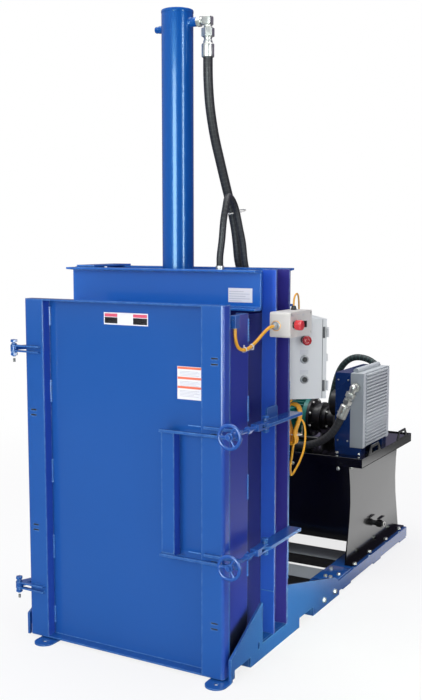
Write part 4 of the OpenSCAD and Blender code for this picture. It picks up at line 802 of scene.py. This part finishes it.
teal_enamel = enamel("teal_enamel", (10, 112, 104), (60, 150, 140), (0.28, 0.4), 0.001, 0.25, 0.15, 0.3)
coat_nodes(teal_enamel, "motor")
pump_black = smooth_paint("pump_black", (16, 16, 18), (0.28, 0.42), 0.15, 0.2)
coat_nodes(pump_black, "bell_housing", "pump")
bolts = bmesh.new()
for count, start, x, radius in ((8, 22.5, 108, 86), (4, 45, 182, 52)):
    for k in range(count):
        turn = radians(k * 360 / count + start)
        bolt_head(bolts, (x, 1173 + radius * cos(turn), 698 + radius * sin(turn)), (1, 0, 0), 12, k, 3)
for x, y in ((-76, 948), (76, 948), (-76, 1022), (76, 1022)):
    turned(bolts, [(0, 0), (6, 0), (6, 8), (5.2, 9), (3, 9), (3, 5), (0, 5)], aim((x, y, 663)), 18)
for x, z in ((-85, 655), (30, 655)):
    turned(bolts, [(0, -1), (9, -1), (9, 7), (8, 8.5), (4, 8.5), (4, 4), (0, 4)],
           aim((x + 28, 930, z - 12), (0, -1, 0)), 20)
for x, size in ((-30, 44), (26, 34)):
    prism(bolts, size * 0.82, 16, aim((x, 909, 618), (0, -1, 0), 0.3), 0.001)
    turned(bolts, [(0, 16), (size * 0.44, 16), (size * 0.5, 20), (size * 0.5, 44), (size * 0.44, 48), (size * 0.3, 48)],
           aim((x, 909, 618), (0, -1, 0)))
turned(bolts, [(0, 0), (13, 0), (13, 34), (11, 36), (0, 36)], aim((-20, 985, 663)), 24)
prism(bolts, 30, 12, aim((-20, 985, 663)), 0.001)
finished("pump_screws_and_unions", bolts, zinc, "zinc_steel", angle=34)

# ---- Oil cooler ----
# An aluminium plate-and-bar core in pale grey between two headers, in a dark blue sheet shroud with a fan.
# Swivel elbows screw into the headers; the shroud stands on blue foot plates.

cooler_grey = smooth_paint("cooler_grey", (202, 208, 209), (0.4, 0.55), 0.08, 0.0, 6.0, 0.10)
tree = cooler_grey.node_tree
# Faces that look to the front are painted a darker grey as shade on the headers.
second_tone(cooler_grey, put(tree, "Math LESS_THAN", part_of(tree, "Y", True), -0.5), (150, 158, 163))
coat_nodes(cooler_grey, "cooler_core")
shroud_blue = enamel("shroud_blue", (14, 46, 100), (70, 110, 170), (0.2, 0.3), 0.0012, 0.1, 0.10, 0.5)
coat_nodes(shroud_blue, "cooler_shroud")
louvres = bmesh.new()
count = 22
for k in range(count):
    z = 622 + k * (338.0 / (count - 1))
    slab(louvres, (-3.0, 980, -4.6), (3.0, 1274, 4.6), 0.0008, 1,
         Matrix.Translation((0.4508, 0, z / 1000.0)) @ Matrix.Rotation(radians(28), 4, "Y"))
finished("cooler_louvres", louvres, cooler_grey, "bare_aluminium", angle=40)
bolts = bmesh.new()
for x, y in ((322, 938), (322, 1320), (368, 1328), (430, 955)):
    bolt_head(bolts, (x, y, 578), (0, 0, 1), 13, x, 4)
for z in (640, 780, 935):
    for x in (322, 372):
        turned(bolts, [(0, 0), (4.5, 0), (3.8, 2.2), (0, 3)], aim((x, 945, z), (0, -1, 0)), 16)
finished("cooler_screws", bolts, zinc, "zinc_steel", angle=34)

# ---- Hydraulic hoses and electric cables ----
# Wire-braided rubber hoses run from the cylinder down the back to the valve block and the cooler.
# Yellow flexible leads join the door switch, the button box, the cabinet and the motor; nylon ties bundle them.


def rounded_run(points, start, end, spacing):
    """Even points in metres on a smooth line through points in millimetres, straight at both ends."""
    posts = [Vector(p) / 1000.0 for p in (points[0], *points, points[-1])]
    line = []
    for a, b, c, d in zip(posts, posts[1:], posts[2:], posts[3:]):
        for k in range(12):
            t = k / 12.0
            line.append(0.5 * (2 * b + (c - a) * t + (2 * a - 5 * b + 4 * c - d) * t * t
                               + (3 * b - a - 3 * c + d) * t ** 3))
    line.append(posts[-1])
    lengths = [0.0]
    for a, b in zip(line, line[1:]):
        lengths.append(lengths[-1] + (b - a).length)
    count = max(8, round(lengths[-1] / spacing))
    even = []
    for k in range(count + 1):
        want = lengths[-1] * k / count
        j = min(max(bisect.bisect_left(lengths, want) - 1, 0), len(line) - 2)
        even.append(line[j].lerp(line[j + 1], (want - lengths[j]) / max(lengths[j + 1] - lengths[j], 1e-9)))
    step = (even[1] - even[0]).length
    even[1] = even[0] + Vector(start).normalized() * step
    even[-2] = even[-1] - Vector(end).normalized() * step
    for _ in range(3):
        even[2:-2] = [even[i] * 0.5 + (even[i - 1] + even[i + 1]) * 0.25 for i in range(2, len(even) - 2)]
    return even


def drawn_tube(line, thickness, sides):
    """A closed tube drawn along a line; its UV runs round it and, in metres, along it."""
    shape = bmesh.new()
    sheet = shape.loops.layers.uv.new("run")
    first = (line[1] - line[0]).normalized()
    bmesh.ops.create_circle(shape, cap_ends=False, radius=thickness / 2.0, segments=sides,
                            matrix=Matrix.Translation(line[0]) @ aim((0, 0, 0), first))
    place = {v: (0.0, k) for k, v in enumerate(shape.verts)}
    edges = head = list(shape.edges)
    along, facing = 0.0, first
    for i in range(1, len(line)):
        ahead = (line[min(i + 1, len(line) - 1)] - line[i - 1]).normalized()
        along += (line[i] - line[i - 1]).length
        fresh, edges = pulled(shape, edges)
        for v in fresh:
            old = next(e.other_vert(v) for e in v.link_edges if e.other_vert(v) in place)
            place[v] = (along, place[old][1])
        swing = facing.rotation_difference(ahead).to_matrix().to_4x4()
        bmesh.ops.transform(shape, verts=fresh, matrix=Matrix.Translation(line[i]) @ swing
                            @ Matrix.Translation(-line[i - 1]))
        facing = ahead
    for face in shape.faces:
        columns = [place[loop.vert][1] for loop in face.loops]
        for loop, column in zip(face.loops, columns):
            over = sides if column == 0 and sides - 1 in columns else column
            loop[sheet].uv = (over / sides, place[loop.vert][0])
    bmesh.ops.contextual_create(shape, geom=head)
    bmesh.ops.contextual_create(shape, geom=edges)
    bmesh.ops.recalc_face_normals(shape, faces=shape.faces)
    return shape


def hose_cover(name, colour, sheen_tone, wraps):
    """Cover rubber with the faint spiral that the cloth wrap leaves while it is cured, its crests painted lighter as a
    sheen.
    """
    finish = finish_of(name, colour, 14.0, 900.0, 0.25, (0.42, 0.56))
    tree = finish.node_tree
    run = put(tree, "SeparateXYZ", put(tree, "UVMap", uv_map="run")).outputs
    coil = put(tree, "Math MULTIPLY_ADD", run["Y"], wraps, run["X"])
    wave = put(tree, "Math SINE", put(tree, "Math MULTIPLY", coil, 2.0 * pi))
    crest = put(tree, "MapRange", wave, 0.55, 1.0)
    second_tone(finish, crest, sheen_tone)
    feed(tree, put(tree, "Bump", Strength=0.5, Distance=0.0006, Height=crest), skin_of(finish)["Normal"])
    return finish


def lay_cord(name, points, start, end, thickness, spacing, sides, *nodes, finish=yellow_jacket,
             slot="yellow_jacket", stiffness="medium"):
    """One cord drawn along its route; a yellow lead unless told otherwise."""
    line = rounded_run(points, start, end, spacing)
    cord = finished(name, drawn_tube(line, thickness, sides), finish, slot, *nodes, angle=50)


cover_rubber = hose_cover("hose_cover_rubber", (38, 39, 41), (52, 53, 55), 55.0)
# The looped hose is tinted teal, with lighter teal crests, as a painted sheen.
loop_rubber_sheen = hose_cover("hose_cover_teal_sheen", (34, 48, 47), (56, 82, 78), 48.0)
press_line = [
    (139, 0, 2310), (138, 3, 2230), (136, 18, 2141), (134, 42, 2066), (133, 70, 1997), (135, 104, 1922),
    (137, 140, 1844), (140, 170, 1777), (144, 194, 1716), (149, 214, 1643), (151, 226, 1580), (153, 238, 1509),
    (163, 262, 1451), (181, 300, 1400), (204, 370, 1350), (222, 416, 1282), (230, 446, 1180), (226, 456, 1050),
    (205, 478, 920), (165, 540, 810), (108, 615, 725), (52, 680, 678), (10, 740, 649), (-18, 800, 631), (-28, 850, 622),
    (-30, 880, 619), (-30, 910, 618)]
return_line = [
    (193, 0, 1500), (193, 0, 1535), (201, 2, 1600), (203, 12, 1680), (199, 38, 1735), (191, 62, 1765), (184, 90, 1776),
    (182, 118, 1767), (184, 141, 1741), (187, 155, 1708), (193, 172, 1642), (197, 188, 1588), (199, 202, 1511),
    (206, 220, 1452), (222, 266, 1410), (243, 326, 1360), (258, 384, 1280), (264, 412, 1180), (258, 428, 1050),
    (244, 462, 920), (204, 535, 805), (148, 620, 722), (98, 690, 680), (60, 742, 652), (37, 800, 633), (28, 850, 622),
    (26, 880, 619), (26, 910, 618)]
cooler_line = [
    (352.5, 905, 757.7), (341, 904, 730), (320, 903, 694), (288, 902, 659), (244, 902, 630), (198, 903, 612),
    (155, 905, 603), (115, 905, 602)]
loop_line = [
    (378.1, 1349, 952.3), (335, 1349, 984), (300, 1349, 995), (262, 1349, 998), (226, 1349, 988), (192, 1349, 962),
    (166, 1349, 924), (146, 1349, 870), (130, 1349, 800), (120, 1349, 753), (120, 1349, 723)]
switch_line = [
    (452, -356, 1290), (452, -356, 1266), (453, -351, 1240), (455, -336, 1218), (460, -308, 1208), (467, -272, 1214),
    (476, -236, 1234), (486, -202, 1260), (494, -174, 1278), (498, -159, 1282.5), (498, -143, 1282.5)]
station_line = [
    (502, 30, 1349.5), (502, 31, 1364), (499, 42, 1381), (494, 66, 1391), (485, 98, 1392), (474, 132, 1383),
    (463, 162, 1366), (455, 182, 1346), (452, 190, 1328), (452, 190, 1306)]
hank_points = [(404, 250, 958), (403, 247, 947), (394, 238, 936), (381, 231, 917), (373, 230, 893)]
for turn in range(3):
    near, far = 230.5 + 11.5 * turn, 236.0 + 11.5 * turn
    hank_points += [
        (374, near, 868), (386, near, 836), (394, near + 1, 808), (388, near + 2, 783), (389, near + 3, 765),
        (404, near + 4, 757), (419, near + 5, 765), (420, far, 783), (414, far, 808), (423, far, 836), (434, far, 870),
        (435, far + 1, 897), (426, far + 3, 918), (404, far + 4, 927), (382, far + 5, 918), (373, far + 6, 897)]
hank_points += [
    (374, 265, 868), (386, 265, 836), (394, 264, 808), (399, 260, 784), (404, 254, 762), (405, 251, 748),
    (402, 250, 733), (397, 254, 700), (384, 268, 660), (360, 325, 610), (330, 405, 585), (300, 500, 580),
    (270, 620, 596), (236, 740, 624), (190, 860, 664), (138, 960, 700), (84, 1028, 713), (54, 1060, 715),
    (30, 1065, 715)]
rubber = {"finish": cover_rubber, "slot": "hose_rubber", "stiffness": "stiff"}
lay_cord("pressure_hose_run", press_line, (0, 0, -1), (0, 1, 0), 0.038, 0.012, 20, "pressure_hose", **rubber)
lay_cord("return_hose_run", return_line, (0, 0, 1), (0, 1, 0), 0.027, 0.010, 18, "return_hose", **rubber)
lay_cord("cooler_hose_run", cooler_line, elbow_way, (-1, 0, 0), 0.038, 0.010, 20, "cooler_hose", **rubber)
rubber["finish"] = loop_rubber_sheen
lay_cord("loop_hose_run", loop_line, loop_way, (0, 0, -1), 0.033, 0.010, 20, "loop_hose", **rubber)
lay_cord("switch_cable_run", switch_line, (0, 0, -1), (0, 1, 0), 0.012, 0.006, 16, "switch_cable")
lay_cord("station_cable_run", station_line, (0, 0, 1), (0, 0, -1), 0.007, 0.005, 16, "station_cable")
lay_cord("motor_lead_hank", hank_points, (0, 0, -1), (-1, 0, 0), 0.010, 0.006, 12, "cable_hank", "cable_tail")


def cable_tie(name, centre, axis, wide, deep, turn, tail, tail_length, width=4.8):
    """A nylon tie round a bundle: flat band, ratchet head and cut tail."""
    part = bmesh.new()
    bmesh.ops.create_circle(part, cap_ends=False, radius=1.0, segments=40)
    bmesh.ops.scale(part, vec=(wide / 2000.0, deep / 2000.0, 1.0), verts=part.verts)
    bmesh.ops.translate(part, vec=(0, 0, -width / 2000.0), verts=part.verts)
    bmesh.ops.translate(part, vec=(0, 0, width / 1000.0), verts=pulled(part, list(part.edges))[0])
    bmesh.ops.recalc_face_normals(part, faces=part.faces)
    bmesh.ops.solidify(part, geom=list(part.faces), thickness=-0.0013)
    whole = bmesh.new()
    add_part(whole, part)
    slab(whole, (wide / 2 - 0.5, -4, -3.6), (wide / 2 + 4.5, 4, 3.6), 0.0006, 2)
    slab(whole, (wide / 2 + 1.2, -2, -width / 2), (wide / 2 + 2.6, -2 + tail_length, width / 2), 0.0003, 1,
         Matrix.Rotation(tail, 4, "X"))
    bmesh.ops.transform(whole, matrix=aim(centre, axis, turn), verts=whole.verts)
    finished(name, whole, nylon_white, "grey_enamel", angle=30)


cable_tie("hose_tie", (168, 172, 1716), (0.06, 0.3, -0.95), 92, 44, 2.5, 0.5, 26.0)
cable_tie("hank_tie", (404, 262, 797), (0.05, 0.0, 1.0), 58, 34, 0.4, 1.2, 40.0)
cable_tie("switch_tie_front", (461, -300, 1209), (0.2, 0.95, 0.2), 17, 17, 2.2, 0.9, 34.0)
cable_tie("switch_tie_rear", (470, -262, 1217), (0.25, 0.9, 0.35), 17, 17, 1.2, -0.7, 30.0)
